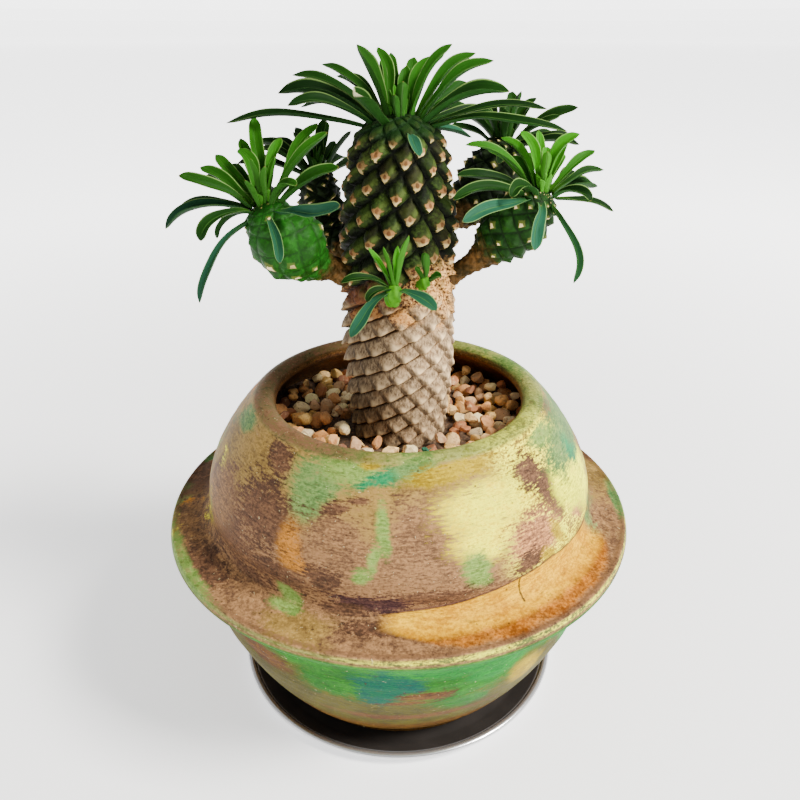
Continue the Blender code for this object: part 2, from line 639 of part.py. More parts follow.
def blade(head, leaf, core, swing=0.0, lift=0.0, first_station=0.0, spare=0.0):
    """Corners and triangles of a leaf: a shallow channelled section with thin edges.

    Both faces are split alike, so that a twisted leaf keeps its thickness.
    """
    line, radial = leaf_line(head, leaf, core, swing, lift)
    width, face = leaf[3], leaf[5]
    corners = []
    stations = [t for t in LEAF_STATIONS if t >= first_station]
    for t in stations:
        place, side, normal = leaf_frame(line, radial, face, t)
        half = width / 2 * curve_value(LEAF_WIDTH_SHARE, t)
        thick = LEAF_THICK / 2 + spare
        rise = normal * half * CHANNEL
        corners += [place - side * (half + spare) + rise, place + normal * thick,
                    place + side * (half + spare) + rise, place - normal * thick]
    corners.append(line[3])
    tip = len(corners) - 1
    triangles = [(0, 1, 2), (0, 2, 3)]
    for ring in range(len(stations) - 1):
        left, top, right, under = range(4 * ring, 4 * ring + 4)
        left2, top2, right2, under2 = range(4 * ring + 4, 4 * ring + 8)
        triangles += [(left, top, top2), (left, top2, left2), (top, right, top2), (right, right2, top2),
                      (left, under2, under), (left, left2, under2), (under, under2, right),
                      (right, under2, right2)]
    left, top, right, under = range(tip - 4, tip)
    triangles += [(left, top, tip), (top, right, tip), (left, tip, under), (right, under, tip)]
    return [corner * MM for corner in corners], triangles


def all_leaves(head_name):
    """The listed leaves of a head, and those of its far side in three storeys."""
    centre, leaves, (count, first, last, reach) = HEADS[head_name]
    chance = random.Random(LEAF_SEED + len(leaves))
    rows = list(leaves)
    for index in range(count):
        share = (index * GOLDEN_SHARE + 0.3) % 1.0
        out, up = STOREYS[index % len(STOREYS)]
        out += chance.uniform(-STOREY_SPREAD, STOREY_SPREAD)
        up += chance.uniform(-STOREY_SPREAD, STOREY_SPREAD)
        width = FAR_LEAF_WIDTH + chance.uniform(-0.5, 0.7)
        bow = FAR_LEAF_BOW + chance.uniform(-6, 10)
        rows.append((first + (last - first) * share, reach * out, reach * up, width, bow, FAR_LEAF_FACE))
    return rows


def place_leaves(head, leaves, core, standing, stems):
    """The leaves of one head, each swung aside or lifted until it stands clear of what is there.

    A leaf that finds no room doesn't grow.
    """
    own = []
    placed = []
    tries = [(swing, lift) for lift in LIFTS for swing in SWINGS]
    for leaf in leaves:
        for swing, lift in tries:
            free = BVHTree.FromPolygons(*blade(head, leaf, core, swing, lift, FREE_FROM, FREE_AIR))
            if any(free.overlap(other) for other in standing + own + stems):
                continue
            whole = BVHTree.FromPolygons(*blade(head, leaf, core, swing, lift, 0.0, FREE_AIR / 2))
            if any(whole.overlap(other) for other in standing + stems[:-1]):
                continue
            own.append(BVHTree.FromPolygons(*blade(head, leaf, core, swing, lift, FREE_FROM)))
            placed.append((leaf, swing, lift))
            break
    return placed


def core_body(name, foot, way, core, sides):
    """The growing tip that the leaves' roots are sunk into, ridged by old leaf bases."""
    foot_radius, top_radius, height = core
    bm = bmesh.new()
    turn = UP.rotation_difference(way).to_matrix().to_4x4()
    middle = Matrix.Translation((foot + way * (GAP + height / 2)) * MM) @ turn
    bmesh.ops.create_cone(bm, cap_ends=True, segments=sides, radius1=foot_radius * MM,
                          radius2=top_radius * MM, depth=height * MM)
    slanted = [edge for edge in bm.edges if abs(edge.verts[0].co.z - edge.verts[1].co.z) > MM]
    bmesh.ops.subdivide_edges(bm, edges=slanted, cuts=1, use_grid_fill=True)
    for corner in bm.verts:
        sector = round(math.atan2(corner.co.y, corner.co.x) / math.tau * sides)
        if abs(corner.co.z) < MM:
            corner.co.xy *= 1.0 + CORE_RIDGE * (1 if sector % 2 else -1)
    bmesh.ops.transform(bm, matrix=middle, verts=bm.verts)
    return finished(name, bm, "leaf")


def leafy(base, head, leaves, core, standing, stems, finish):
    """Leaves fused to their core or shoot. Their free shapes join those that stand already."""
    blades = []
    for leaf, swing, lift in place_leaves(head, leaves, core, standing, stems):
        corners, triangles = blade(head, leaf, core, swing, lift)
        bm = bmesh.new()
        points = [bm.verts.new(corner) for corner in corners]
        for triangle in triangles:
            bm.faces.new([points[index] for index in triangle])
        blades.append(finished("blade", bm, finish))
        standing.append(BVHTree.FromPolygons(corners, triangles))
    return fuse(base, blades)


def solid_tree(body):
    """The surface of a finished body, for telling what touches it."""
    return BVHTree.FromPolygons([v.co.copy() for v in body.data.vertices],
                                [tuple(face.vertices) for face in body.data.polygons])


def make_shoot(name, standing, stems):
    """A small fresh shoot: a short stem that turns upright, with leaves at its head."""
    foot, head, foot_radius, head_radius = SHOOTS[name]
    way = outward(foot)
    rings = ((foot, way, foot_radius), (foot + way * SHOOT_BEND, (way + UP * 0.8).normalized(), foot_radius),
             (head, (way * 0.3 + UP).normalized(), head_radius))
    bm = bmesh.new()
    turn = UP.rotation_difference(way).to_matrix().to_4x4()
    bmesh.ops.create_circle(bm, segments=SHOOT_SIDES, radius=foot_radius * MM,
                            matrix=Matrix.Translation(foot * MM) @ turn)
    edge_loop = list(bm.edges)
    for (old, old_way, old_radius), (new, new_way, new_radius) in zip(rings, rings[1:]):
        grown = bmesh.ops.extrude_edge_only(bm, edges=edge_loop)["geom"]
        edge_loop = [part for part in grown if isinstance(part, bmesh.types.BMEdge) and part.is_boundary]
        bend = old_way.rotation_difference(new_way).to_matrix()
        for corner in {corner for edge in edge_loop for corner in edge.verts}:
            corner.co = new * MM + bend @ (corner.co - old * MM) * (new_radius / old_radius)
    bmesh.ops.holes_fill(bm, edges=[edge for edge in bm.edges if edge.is_boundary], sides=0)
    base = finished(name, bm, "young_leaf")
    core = (head_radius, head_radius, SHOOT_HEART)
    middle = head - UP * SHOOT_HEART / 2
    leafy(base, middle, SHOOT_LEAVES[name], core, standing, stems, "young_leaf")


def make_plant():
    stem = make_stem()
    branches = [make_branch(name) for name in BRANCHES]
    stems = [solid_tree(body) for body in [stem] + branches]
    standing = []
    base = core_body("crown", Vector((0.0, 0.0, STEM_TOP)), UP, CROWN_CORE, CROWN_SIDES)
    leafy(base, HEADS["crown"][0], all_leaves("crown"), CROWN_CORE, standing, stems, "leaf")
    for name in BRANCHES:
        spine = [Vector(point) for point, girth in BRANCHES[name]]
        head_name = "leaves_" + name
        base = core_body(head_name, spine[-1], spine_way(spine, len(spine) - 1), BRANCH_CORE, CORE_SIDES)
        leafy(base, HEADS[head_name][0], all_leaves(head_name), BRANCH_CORE, standing, stems, "leaf")
    for name in SHOOTS:
        make_shoot(name, standing, stems)


def main():
    for old in list(bpy.data.objects):
        bpy.data.objects.remove(old)
    make_saucer()
    make_pot()
    make_soil()
    make_gravel()
    make_plant()


main()
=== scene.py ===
"""Looks of the potted euphorbia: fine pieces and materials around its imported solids.

Metres, +Z up, the front towards -Y. Sizes are given in millimetres and multiplied by MM where a
point is made, and the materials measure Object coordinates in millimetres too.
"""
import math
import random

import bmesh
import bpy
from bpy.props import FloatProperty, FloatVectorProperty, IntProperty, PointerProperty
from mathutils import Color, Euler, Matrix, Vector, noise
from mathutils.kdtree import KDTree


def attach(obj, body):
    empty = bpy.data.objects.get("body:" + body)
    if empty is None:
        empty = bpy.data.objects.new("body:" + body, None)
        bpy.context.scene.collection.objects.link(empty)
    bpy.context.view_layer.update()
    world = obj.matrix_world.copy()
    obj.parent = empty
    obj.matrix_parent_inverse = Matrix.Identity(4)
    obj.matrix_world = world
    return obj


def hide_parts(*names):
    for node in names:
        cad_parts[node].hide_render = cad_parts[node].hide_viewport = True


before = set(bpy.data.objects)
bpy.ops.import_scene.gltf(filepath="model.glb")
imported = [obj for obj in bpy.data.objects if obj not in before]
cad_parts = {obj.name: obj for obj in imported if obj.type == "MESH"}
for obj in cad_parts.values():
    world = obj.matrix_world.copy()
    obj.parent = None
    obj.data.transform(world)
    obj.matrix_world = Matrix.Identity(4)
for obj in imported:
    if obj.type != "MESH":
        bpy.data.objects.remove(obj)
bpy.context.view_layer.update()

bl_info = {
    "name": "Potted euphorbia",
    "version": (1, 0, 0),
    "blender": (4, 5, 0),
    "location": "View3D > Sidebar > Euphorbia",
    "description": "Builds the plant, its gravel, the glazed pot and the saucer",
    "category": "Object",
}

MM = 0.001
UP = Vector((0.0, 0.0, 1.0))
GOLDEN_TURN = math.radians(137.508)
GOLDEN_SHARE = 0.618034

# Saucer and pot: outlines as (radius, height). A point named twice is a corner
ROUND_SIDES = 160
OUTLINE_STEPS = 5
SAUCER_FLOOR = 1.2
SAUCER_OUTLINE = ((0, 0), (62, 0), (62, 0), (69.6, 3.3), (71.8, 3.6), (73.0, 4.0), (73.5, 4.9), (73.1, 5.8),
                  (72.2, 6.2), (71.2, 6.0), (70.6, 5.2), (69.2, 4.4), (61.7, SAUCER_FLOOR),
                  (61.7, SAUCER_FLOOR), (40, SAUCER_FLOOR), (0, SAUCER_FLOOR))
SAUCER_RIM = (69.4, 70.4)           # radii between which the polish begins
SAUCER_SOLE = 62.0
SAUCER_SLOPE = 0.41
POT_FOOT = 1.5
POT_FLOOR = 8.5
DRAIN_RADIUS = 6.0
POT_OUTSIDE = ((DRAIN_RADIUS, POT_FOOT), (DRAIN_RADIUS, POT_FOOT), (53, POT_FOOT), (57.6, 3.4), (64.9, 12),
               (73.3, 26), (78.9, 38), (82.8, 48), (84.9, 57), (86.4, 65), (88.4, 70.6), (91.6, 74.8),
               (95.6, 77.9), (97.6, 79.8), (98.4, 82.2), (97.6, 84.6), (96.4, 85.1), (95.0, 85.0), (92, 85.4),
               (86.5, 86.2), (82.5, 88.2), (80.6, 91.6), (80.9, 97), (79.6, 105), (75.4, 115), (67.6, 127),
               (60.5, 135.2), (57.8, 137.4), (55.0, 138.2), (52.4, 137.6), (50.8, 135.8), (50.7, 133.6))
POT_INSIDE = ((53.0, 131.2), (56.6, 128.4), (66.5, 117), (73.6, 101), (74.4, 80), (71.6, 52), (61.6, 25.5),
              (49, 11.5), (42, POT_FLOOR), (DRAIN_RADIUS, POT_FLOOR), (DRAIN_RADIUS, POT_FLOOR))
INNER_WALL = tuple(sorted((z, radius) for radius, z in POT_OUTSIDE[-2:] + POT_INSIDE[:-2]))
WIDEST = 98.5
FLANGE_ROOT = 84.0
FLANGE_LIFT = 0.8
RIPPLE_PITCH = 5.6
MOUTH = (131.0, 137.6)

# Gravel: the ring it lies in, and its layers as (height, stones, how close they lie)
STEM_CLEAR = 20.6
BED_WALL = ((118.0, 62.4), (121.0, 60.4), (124.5, 57.6), (129.0, 54.4))
STONE_LAYERS = ((120.6, 190, 0.72), (124.2, 170, 0.76))
STONE_TRIES = 5000
STONE_SEED = 7
STONE_TONES = ("E0B878", "F0D8A0", "CC9C5C", "B8804A", "9A6038", "7E5034", "C8A058", "ECD4A4", "BC946A",
               "C08850")
STONE_WIDTHS = (0.66, 0.92)         # width and thickness as shares of a stone's length
STONE_DEPTHS = (0.60, 0.86)
STONE_TILT = 0.5
STONE_KNOCKS = (0.10, 0.26)         # how uneven a stone is
STONE_BREAKS = (3, 8)               # how many flat breaks it has
BREAK_REACH = (0.22, 0.38)          # and how far out they lie
STONE_LIGHT = (0.9, 1.35)
STONE_WAVER = 0.7
STONE_SHARP = 28                    # degrees from which an edge is sharp
BIG_STONES = (0.15, 1.12)           # their share, and how much larger they are
# Two smooth orange-brown stones near the front
NUTS = (Vector((-20.0, -34.5, 125.0)), Vector((15.5, -35.4, 125.0)))
NUT_SIZE = 6.4
NUT_SHAPE = Vector((1.0, 0.94, 0.92))
NUT_SMOOTHNESS = 0.9
MOSS = (11.5, -31.0, 124.6)
MOSS_SPREAD = ((-1.8, 1.8), (-1.0, 1.0), (-0.3, 1.6))
MOSS_BALLS = 9

# Stem: (height, girth radius over the scales, height of the scales)
STEM_FORM = ((118, 20.4, 1.3), (126, 20.7, 1.4), (136, 22.0, 1.6), (150, 23.1, 1.7), (165, 23.4, 1.8),
             (180, 22.9, 2.2), (195, 22.8, 3.0), (207, 22.6, 3.3), (218, 21.2, 3.2), (228, 19.2, 2.8),
             (238, 15.8, 2.2))
STEM_SPIRALS = (8, 13)
STEM_STEPS = ((8.0, 3.9), (-4.9, 6.2))   # side and rise of a scale along the two spirals
STEM_START = 120.6
STEM_FOOT = 110.0
LOW_RISE = 0.40
HIGH_RISE = 0.54
RISE_CHANGE = (172.0, 197.0)
BELT_FROM = (162.0, 170.0)          # heights between which the rough belt comes and goes
BELT_TO = (196.0, 184.0)
POINTED_FROM = (168.0, 192.0)       # heights between which flat plates turn to pointed tubercles
BELT_TONES = (171.0, 179.0)         # heights between which a tone of the stem takes over from the one below
GREEN_TONES = (180.0, 187.0)
TIP_TONES = (234.0, 239.0)
SCARS_END = (238.0, 233.0)
SOIL_STAIN = (124.0, 119.0)
DOME_FROM = 228.0                   # the growing tip is rounded off from here
DOME_RISE = 15.4
DOME_LENGTH = 25.0
DOME_END = 0.93
STEM_FINE = 13
CROWN_CORE = (13.6, 5.0, 7.2)

# Branches: points of the spine as (x, y, z), girth radius over the scales at each
BRANCH_SPIRALS = (5, 8)
BRANCH_STEPS = ((-6.5, 2.6), (4.1, 4.2))
BRANCH_RISE = 0.047
BRANCHES = {
    "left": (((-24.6, -7.0, 190.0), 4.8), ((-30.5, -10.8, 193.5), 7.6), ((-36.0, -14.0, 199.0), 13.0),
             ((-42.0, -16.5, 206.0), 12.6), ((-45.6, -17.6, 211.5), 9.0)),
    "right": (((24.4, -2.6, 188.8), 3.6), ((30.5, -4.0, 193.6), 5.2), ((37.5, -6.0, 201.4), 10.6),
              ((43.5, -8.5, 208.4), 11.6), ((48.6, -11.0, 214.8), 9.0)),
    "back_left": (((-18.0, 16.6, 188.5), 4.2), ((-23.5, 19.5, 192.0), 7.0), ((-28.5, 20.5, 199.0), 9.0),
                  ((-30.5, 20.5, 208.0), 9.3), ((-31.0, 20.2, 216.0), 7.4)),
    "back_right": (((19.6, 14.9, 203.0), 4.8), ((26.0, 18.5, 206.5), 8.6), ((32.0, 21.5, 213.0), 11.4),
                   ((37.0, 23.3, 220.0), 11.4), ((40.0, 24.0, 226.6), 8.8)),
}
BRANCH_DEPTH = 6.0                  # how far a branch is carried on into the stem
BRANCH_RELIEFS = {"left": 1.15, "right": 1.6, "back_left": 1.9, "back_right": 1.9}
BRANCH_FULL_GIRTH = 10.0
LEAST_GIRTH = 6.0
BRANCH_FINE = 12
BRANCH_DOME = 1.3                   # length over the rounded tip as a share of its girth
BRANCH_TIP_RISE = 5.0
SPINE_STEP = 0.25
BRANCH_CORE = (7.0, 3.2, 5.5)
# How fresh and glossy each branch's green is, and how brown its foot, from 0 to 1
BRANCH_TONES = {"left": (1.0, 0.25), "right": (0.45, 0.9),
                "back_left": (0.06, 0.4), "back_right": (0.08, 0.4)}

# Leaves: turn seen from above, reach and height of the tip from the head's centre, width,
# bow in degrees, and how far the face is turned to the light
LIGHT_FROM = Vector((0.35, -1.0, 0.35)).normalized()
LEAF_THICK = 0.9
LEAF_LENS = 0.72                    # how much thinner a leaf is at its edges
LEAF_WIDTH_SHARE = ((0.0, 0.42), (0.3, 0.56), (0.64, 0.86), (0.88, 0.66), (1.0, 0.22))
LEAF_ROUNDING = 0.92                # share of a leaf from which its tip is rounded off
LEAF_ALONG = 24
LEAF_ROUND = 12
CHANNEL = 0.56                      # how deep a leaf is channelled, as a share of its half width
ROOT_SPREAD = 0.6
ROOT_CLIMB = 0.34
TIP_BOW = 1.3
ROOT_HANDLE = 0.36
TIP_HANDLE = 0.34
FULL_TURN_AT = 0.4
CROWN_LEAVES = (
    (-156, 15, 27, 6.4, 10, 46), (101, 14, 24, 5.0, 5, 15), (108, 19, 22, 5.0, 10, 15),
    (145, 34, 20, 5.5, 26, 15), (168, 38, 17, 6.3, 26, 21), (155, 38, 13, 5.9, 24, 16),
    (-174, 41, 12, 6.7, 30, 26), (-159, 39, 9, 6.7, 26, 26), (-172, 59, 3, 4.0, 14, 22),
    (-123, 26, 14, 7.2, 4, 34), (-79, 8, 16, 5.0, 3, 8), (73, 10, 20, 5.0, 6, 8),
    (-6, 18, 27, 6.7, 22, 30), (37, 20, 24, 5.9, 20, 19), (17, 28, 24, 5.9, 22, 24),
    (4, 32, 22, 6.3, 24, 27), (41, 33, 14, 5.9, 8, 38), (-15, 38, 13, 6.7, 26, 27),
    (-4, 51, 7, 4.7, 16, 30), (-14, 58, 1, 4.4, 16, 27), (-76, 28, -5, 4.9, 20, 22),
    (140, 37, 9, 5.9, 20, 15), (22, 29, -4, 4.6, 14, 15), (-98, 9, 12, 3.4, 3, 8),
)
LEFT_LEAVES = (
    (-167, 27, 13, 5.5, 12, 36), (169, 22, 14, 5.2, 10, 30), (151, 21, 17, 4.7, 8, 32),
    (122, 17, 22, 4.7, 6, 38), (104, 17, 29, 5.4, 4, 46), (52, 10, 23, 4.6, 14, 22),
    (-5, 23, 26, 4.9, 16, 27), (38, 23, 27, 4.6, 10, 26), (-17, 28, 16, 5.2, 14, 39),
    (-173, 34, -5, 5.5, 38, 22), (170, 35, -5, 5.0, 34, 16), (-139, 25, -6, 5.5, 50, 22),
    (162, 20, -11, 4.2, 45, 16), (-153, 26, -29, 4.0, 25, 26), (-23, 40, 8, 5.9, -6, 46),
    (-59, 23, -12, 4.0, 30, 26), (-118, 9, 12, 2.9, 6, 15), (-132, 4, 18, 2.7, 4, 15),
    (-68, 6, 16, 3.2, 4, 15), (20, 5, 18, 2.7, 8, 15), (-43, 18, 11, 4.0, 45, 26),
)
RIGHT_LEAVES = (
    (-172, 28, 18, 4.5, 32, 26), (157, 16, 19, 4.4, 30, 22), (-160, 35, 2, 5.2, 24, 27),
    (178, 31, 6, 4.7, 18, 26), (-149, 38, -3, 5.7, 8, 42), (-130, 20, 3, 4.9, 62, 30),
    (-103, 22, -13, 5.7, 25, 38), (-48, 17, -27, 3.7, 38, 27), (-9, 25, -4, 4.0, 16, 22),
    (-36, 18, 1, 4.4, 55, 26), (19, 24, 8, 3.5, 22, 22), (31, 23, 14, 4.4, 14, 26),
    (0, 11, 21, 5.2, 35, 34), (37, 10, 19, 4.4, 6, 22), (-80, 4, 16, 4.0, 8, 9),
    (135, 11, 21, 4.7, 26, 27), (89, 18, 20, 4.0, 10, 15), (142, 23, 14, 4.4, 16, 22),
)
BACK_LEFT_LEAVES = (
    (-153, 9, 17, 4.9, 12, 30), (52, 5, 21, 4.4, 6, 22), (-35, 17, 18, 4.9, 10, 30),
    (59, 12, 12, 4.4, 10, 22), (111, 13, 14, 4.4, 10, 22), (-169, 30, 6, 4.6, 20, 27),
)
BACK_RIGHT_LEAVES = (
    (-147, 11, 16, 4.9, 12, 30), (-114, 15, 16, 5.5, 12, 38), (-42, 6, 20, 4.9, 5, 38),
    (0, 27, 14, 5.5, 14, 38), (-29, 21, 12, 4.9, 14, 26), (44, 14, 14, 4.4, 8, 22),
    (137, 12, 11, 4.4, 14, 22), (-175, 21, 8, 4.6, 16, 26), (-98, 23, -3, 4.4, 24, 26),
    (-60, 20, 1, 4.6, 22, 26),
)
SHOOT_LEAVES = {
    "sprout": (
        (-39, 6, 20, 3.0, 6, 30), (60, 2, 15, 2.6, 4, 20), (-140, 5, 16, 2.4, 4, 30),
        (-174, 9, 15, 2.8, 4, 40), (-164, 19, 4, 3.8, 35, 30), (-142, 12, -2, 3.6, 50, 30),
        (-27, 16, -5, 5.2, 20, 50), (-155, 17, -15, 5.2, 20, 50),
    ),
    "bud": ((-100, 1.5, 11, 3.8, 3, 10), (-19, 6, 3, 3.2, 12, 30), (-150, 4, 6, 2.8, 8, 20)),
}
# A head: centre, leaves, and those of its far side: how many, first and last turn, reach
HEADS = {
    "crown": (Vector((0.0, 0.0, 238.0)), CROWN_LEAVES, (12, 25, 160, 42)),
    "leaves_left": (Vector((-46.0, -18.0, 213.5)), LEFT_LEAVES, (5, 60, 165, 30)),
    "leaves_right": (Vector((50.0, -12.0, 217.0)), RIGHT_LEAVES, (6, 20, 125, 28)),
    "leaves_back_left": (Vector((-31.2, 20.0, 218.2)), BACK_LEFT_LEAVES, (9, 45, 215, 29)),
    "leaves_back_right": (Vector((40.8, 24.2, 229.0)), BACK_RIGHT_LEAVES, (8, -15, 150, 30)),
}
STOREYS = ((0.95, 0.10), (0.74, 0.40), (0.40, 0.56))
STOREY_SPREAD = 0.06
FAR_LEAF_WIDTH = 5.4
FAR_LEAF_BOW = 18
FAR_LEAF_FACE = 15
LEAF_SEED = 5
SWINGS = (0, 4, -4, 8, -8, 12, -12, 17, -17, 22, -22)
LIFTS = (0, 2.5, -2.5)
TIP_MATCH = 0.02
# Leaves with a blue-green cast, by their turn and reach, and how strong it is
BLUE_LEAVES = {
    "crown": {(-76, 28): 1.0, (22, 29): 0.9},
    "leaves_left": {(-23, 40): 0.85, (-59, 23): 0.8, (-153, 26): 0.7, (-173, 34): 0.35, (170, 35): 0.3},
    "leaves_right": {(-149, 38): 0.9, (-103, 22): 1.0, (-48, 17): 0.2},
    "sprout": {(-27, 16): 0.75, (-155, 17): 0.9},
}
# How bright a head's inner leaves are, how blunt its tips, and how much painted shade darkens the whole head;
# below zero it is painted light that brightens it
HEAD_TONES = {
    "crown": (0.35, 0.2, 0.0), "leaves_left": (0.55, 0.75, 0.0), "leaves_right": (1.0, 0.25, -0.4),
    "leaves_back_left": (0.1, 0.2, 0.55), "leaves_back_right": (0.2, 0.2, 0.4),
    "sprout": (1.0, 0.0, 0.0), "bud": (0.5, 0.2, 0.1),
}
# How much darker the leaves on a head's left are than those on its right, and the same for the others
SIDE_SHADOW = {"crown": 0.45}
SMALL_SHADOW = 0.1
SHOOTS = {
    "sprout": (Vector((-2.0, -24.9, 183.4)), Vector((-1.2, -28.6, 190.0)), 2.3, 3.1),
    "bud": (Vector((8.2, -23.5, 188.4)), Vector((9.2, -26.4, 192.0)), 1.7, 2.1),
}
SHOOT_DEPTH = 4.0                   # how far a shoot's foot lies in the stem
SHOOT_BEND = 1.6
SHOOT_HEART = 2.0
SHOOT_SIDES = 28
SHOOT_RINGS = 22
# Small leaves in the middle of a head: how many, and their reach
CROWN_HEART = (13, 15.0)
BRANCH_HEART = (9, 12.0)
PALE_LEAF = ("crown", -123, 26)     # the one with a worn pale end

# Glazes, each with its darker and its lighter tone. The low ones are the deeper greens of the lower bowl
GLAZES = {
    "olive": ("6D552C", "9C7E41"), "green": ("466837", "748F4C"), "light_green": ("5E7A34", "86A04E"),
    "teal": ("0B6943", "27854D"), "mauve": ("412E23", "725139"), "purple": ("332226", "5E4139"),
    "taupe": ("5B4231", "99724A"), "ochre": ("5A3A1C", "C88430"),
    "cream": ("EBCD0C", "FFFF13"), "pink": ("6B4836", "D69459"), "lime": ("D6D801", "FFFF02"),
    "brown": ("452916", "704A23"), "straw": ("866D0D", "B69D15"), "burnt": ("78400C", "B8701A"),
    "amber": ("C08400", "E8B400"), "rust": ("552E15", "7A441A"), "low_green": ("175612", "2B761A"),
    "low_teal": ("0C6C24", "28892A"), "low_blue": ("024C44", "065D36"), "low_olive": ("3B350E", "565017"),
}
DRY_GLAZES = ("mauve", "purple", "taupe", "pink", "brown", "rust", "ochre")
# Glaze patches on the walls, in the order in which they were laid. Each glaze has its spots:
# turn, radius, height, half width and half height in millimetres, and tilt
WALL_PATCHES = (
    ("olive", (-151, 69, 125, 18, 9, 0)), ("green", (-161, 62, 133, 8, 3, 0)),
    ("olive", (-128, 64, 130, 14, 6, 0)), ("green", (-116, 65, 130, 13, 6, 0), (-118, 70, 123, 7, 5.5, 0)),
    ("light_green", (-104, 61, 134, 13, 4, 0)),
    ("mauve", (-132, 62, 132, 8, 3.8, -22), (-131, 75, 115, 17, 10, 0), (-142, 79, 100, 20, 13, 0)),
    ("taupe", (-152, 77, 108, 12, 12, 0)), ("mauve", (-121, 81, 97, 18, 6, 0)),
    ("ochre", (-119, 77, 109, 5.5, 8, 12), (-115, 80, 103, 8, 3, -8)),
    ("taupe", (-106, 75, 114, 12, 9, 0), (-104, 79, 103, 12, 6, 0)),
    ("mauve", (-107, 69, 124, 6.5, 2, 8), (-101, 67, 126.5, 4.5, 1.3, 8), (-110, 79, 101, 7, 4, 0)),
    ("taupe", (-84, 73, 118, 13, 10, 0), (-84, 79, 105, 15, 7, 0)),
    ("light_green", (-94, 72, 120, 2.4, 8, 6), (-96, 77, 110, 2.2, 5, -8), (-99, 79, 104, 3.4, 3, 0)),
    ("teal", (-95, 62, 133, 9, 2.2, 17), (-90, 60, 135, 5, 1.6, 10)), ("green", (-84, 60, 135.6, 9, 3, 0)),
    ("straw", (-99, 58, 136.6, 4, 1.4, 0), (-71, 62, 134, 16, 2.8, 4)),
    ("cream", (-64, 70, 123, 17, 7, 0), (-66, 75, 113, 12, 7, 0)),
    ("light_green", (-70, 79, 105, 5.5, 6.5, 0)),
    ("mauve", (-46, 66, 127.5, 8, 5, 0), (-42, 71, 120.5, 5, 6, -25), (-40, 75, 113, 6, 5.5, -30)),
    ("pink", (-31, 79, 106, 8, 3.6, -35), (-51, 78, 107, 14, 9, 0)), ("mauve", (-55, 80, 100, 6, 4, 0)),
    ("straw", (-42, 79, 104, 3, 7, 35), (-47, 80.5, 98, 3, 5, 45)),
    ("lime", (-31, 74, 117, 10, 9, 20), (-18, 76, 112, 12, 12, 0)), ("green", (-22, 66, 126, 16, 8, 0)),
    ("teal", (-16, 69, 122, 8, 6, 0)), ("green", (30, 62, 131, 26, 9, 0), (-4, 66, 127, 16, 9, 0)),
    ("light_green", (-30, 62, 133, 10, 3, 0)), ("mauve", (-82, 80.5, 96, 16, 3.4, 0)),
    ("taupe", (-66, 81, 94, 12, 3, 8)), ("purple", (-97, 80.5, 93.5, 15, 3.2, 2)),
    ("mauve", (-104, 81, 90.5, 9, 2, 0)), ("light_green", (-119, 81.5, 90.5, 5.5, 2.4, -15)),
    ("mauve", (-133, 82, 90, 14, 3, 0)), ("low_olive", (-124, 79, 44, 22, 16, 0)),
    ("low_green", (-105, 84, 58, 16, 10, 0), (-74, 84, 58, 28, 13, 0)), ("low_teal", (-80, 86, 68, 24, 5, 0)),
    ("low_blue", (-93, 84, 57, 11, 11, 14)), ("low_teal", (-64, 85, 62, 12, 6, 10)),
    ("low_green", (-72, 81, 43, 11, 5, 8)),
    ("brown", (-84, 84, 52, 10, 3, 4), (-88, 83, 47.5, 9, 1.4, 4), (-127, 84, 58, 12, 4.5, -8)),
    ("straw", (-54, 83, 50, 8, 9, 20)), ("low_green", (-44, 85, 66, 16, 8, 0)),
    ("low_teal", (-36, 84, 58, 8, 10, 0)), ("low_olive", (-92, 79, 39, 20, 3.4, 0)),
    ("brown", (-88, 76, 33.5, 34, 2.4, 0)),
)
# Glaze patches on the flange: turn, radius, half width and half depth
FLANGE_PATCHES = (
    ("taupe", (-166, 89, 26, 9)), ("mauve", (-146, 90, 16, 7)), ("light_green", (-150, 97, 30, 3.4)),
    ("taupe", (-127, 91, 12, 6)), ("olive", (-112, 91, 16, 7)), ("light_green", (-119, 84, 6, 2.6)),
    ("taupe", (-97, 91, 14, 6)), ("mauve", (-95, 85.5, 12, 2.4)),
    ("taupe", (-84, 93, 16, 3.4), (-12, 90, 18, 8)), ("green", (-2, 96.5, 14, 3)), ("olive", (12, 90, 12, 7)),
)
# Where glazes meet: heights and radii between which one takes over from another
LOW_GLAZES = (84.4, 83.4)
FLANGE_RADII = (81.0, 83.5)
FLANGE_HEIGHTS = (81.5, 83.5)
RIM_HEIGHTS = (134.6, 136.2)
RIM_RADII = (60.0, 58.2)
FOOT_STAIN = (27.0, 19.0)
AMBER_BRIGHT = (91.0, 86.5)
# The amber on the flange: turns at its ends, and turn and height of its upper edge
AMBER_TURNS = (-96.0, -18.0)
AMBER_CREST = ((-96.0, 89.4), (-88.0, 90.8), (-74.0, 92.6), (-58.0, 95.2), (-46.0, 96.6), (-34.0, 94.0),
               (-18.0, 90.5))
CRACK_TURN = -57.6

# Stage: the floor runs up into a low edge all round, far out. Away from the pot it is lit more
FLOOR_OUTLINE = ((0, 0), (12000, 0), (14000, 220), (14600, 1100))
FLOOR_GLOW = (100.0, 1100.0)
NEAR_GLOW = (0.32, 0.32, 0.32, 1.0)
WHITE = (1.0, 1.0, 1.0, 1.0)
KEY_PLACE = Vector((1.4, -0.6, 1.6))
KEY_SIZE = 0.6
FILL_PLACE = Vector((-1.1, -0.9, 0.7))
FILL_SIZE = 1.2
LAMP_TONE = (1.0, 0.97, 0.92)
LAMP_AIM = Vector((0.0, 0.0, 0.14))
CAMERA_PLACE = (0.0, -0.2708, 0.2702)
CAMERA_TILT = 62.86
LENS = 32.805
SENSOR = 36.0
LENS_SHIFT = 0.001875
CLIPPED = (0.01, 60.0)


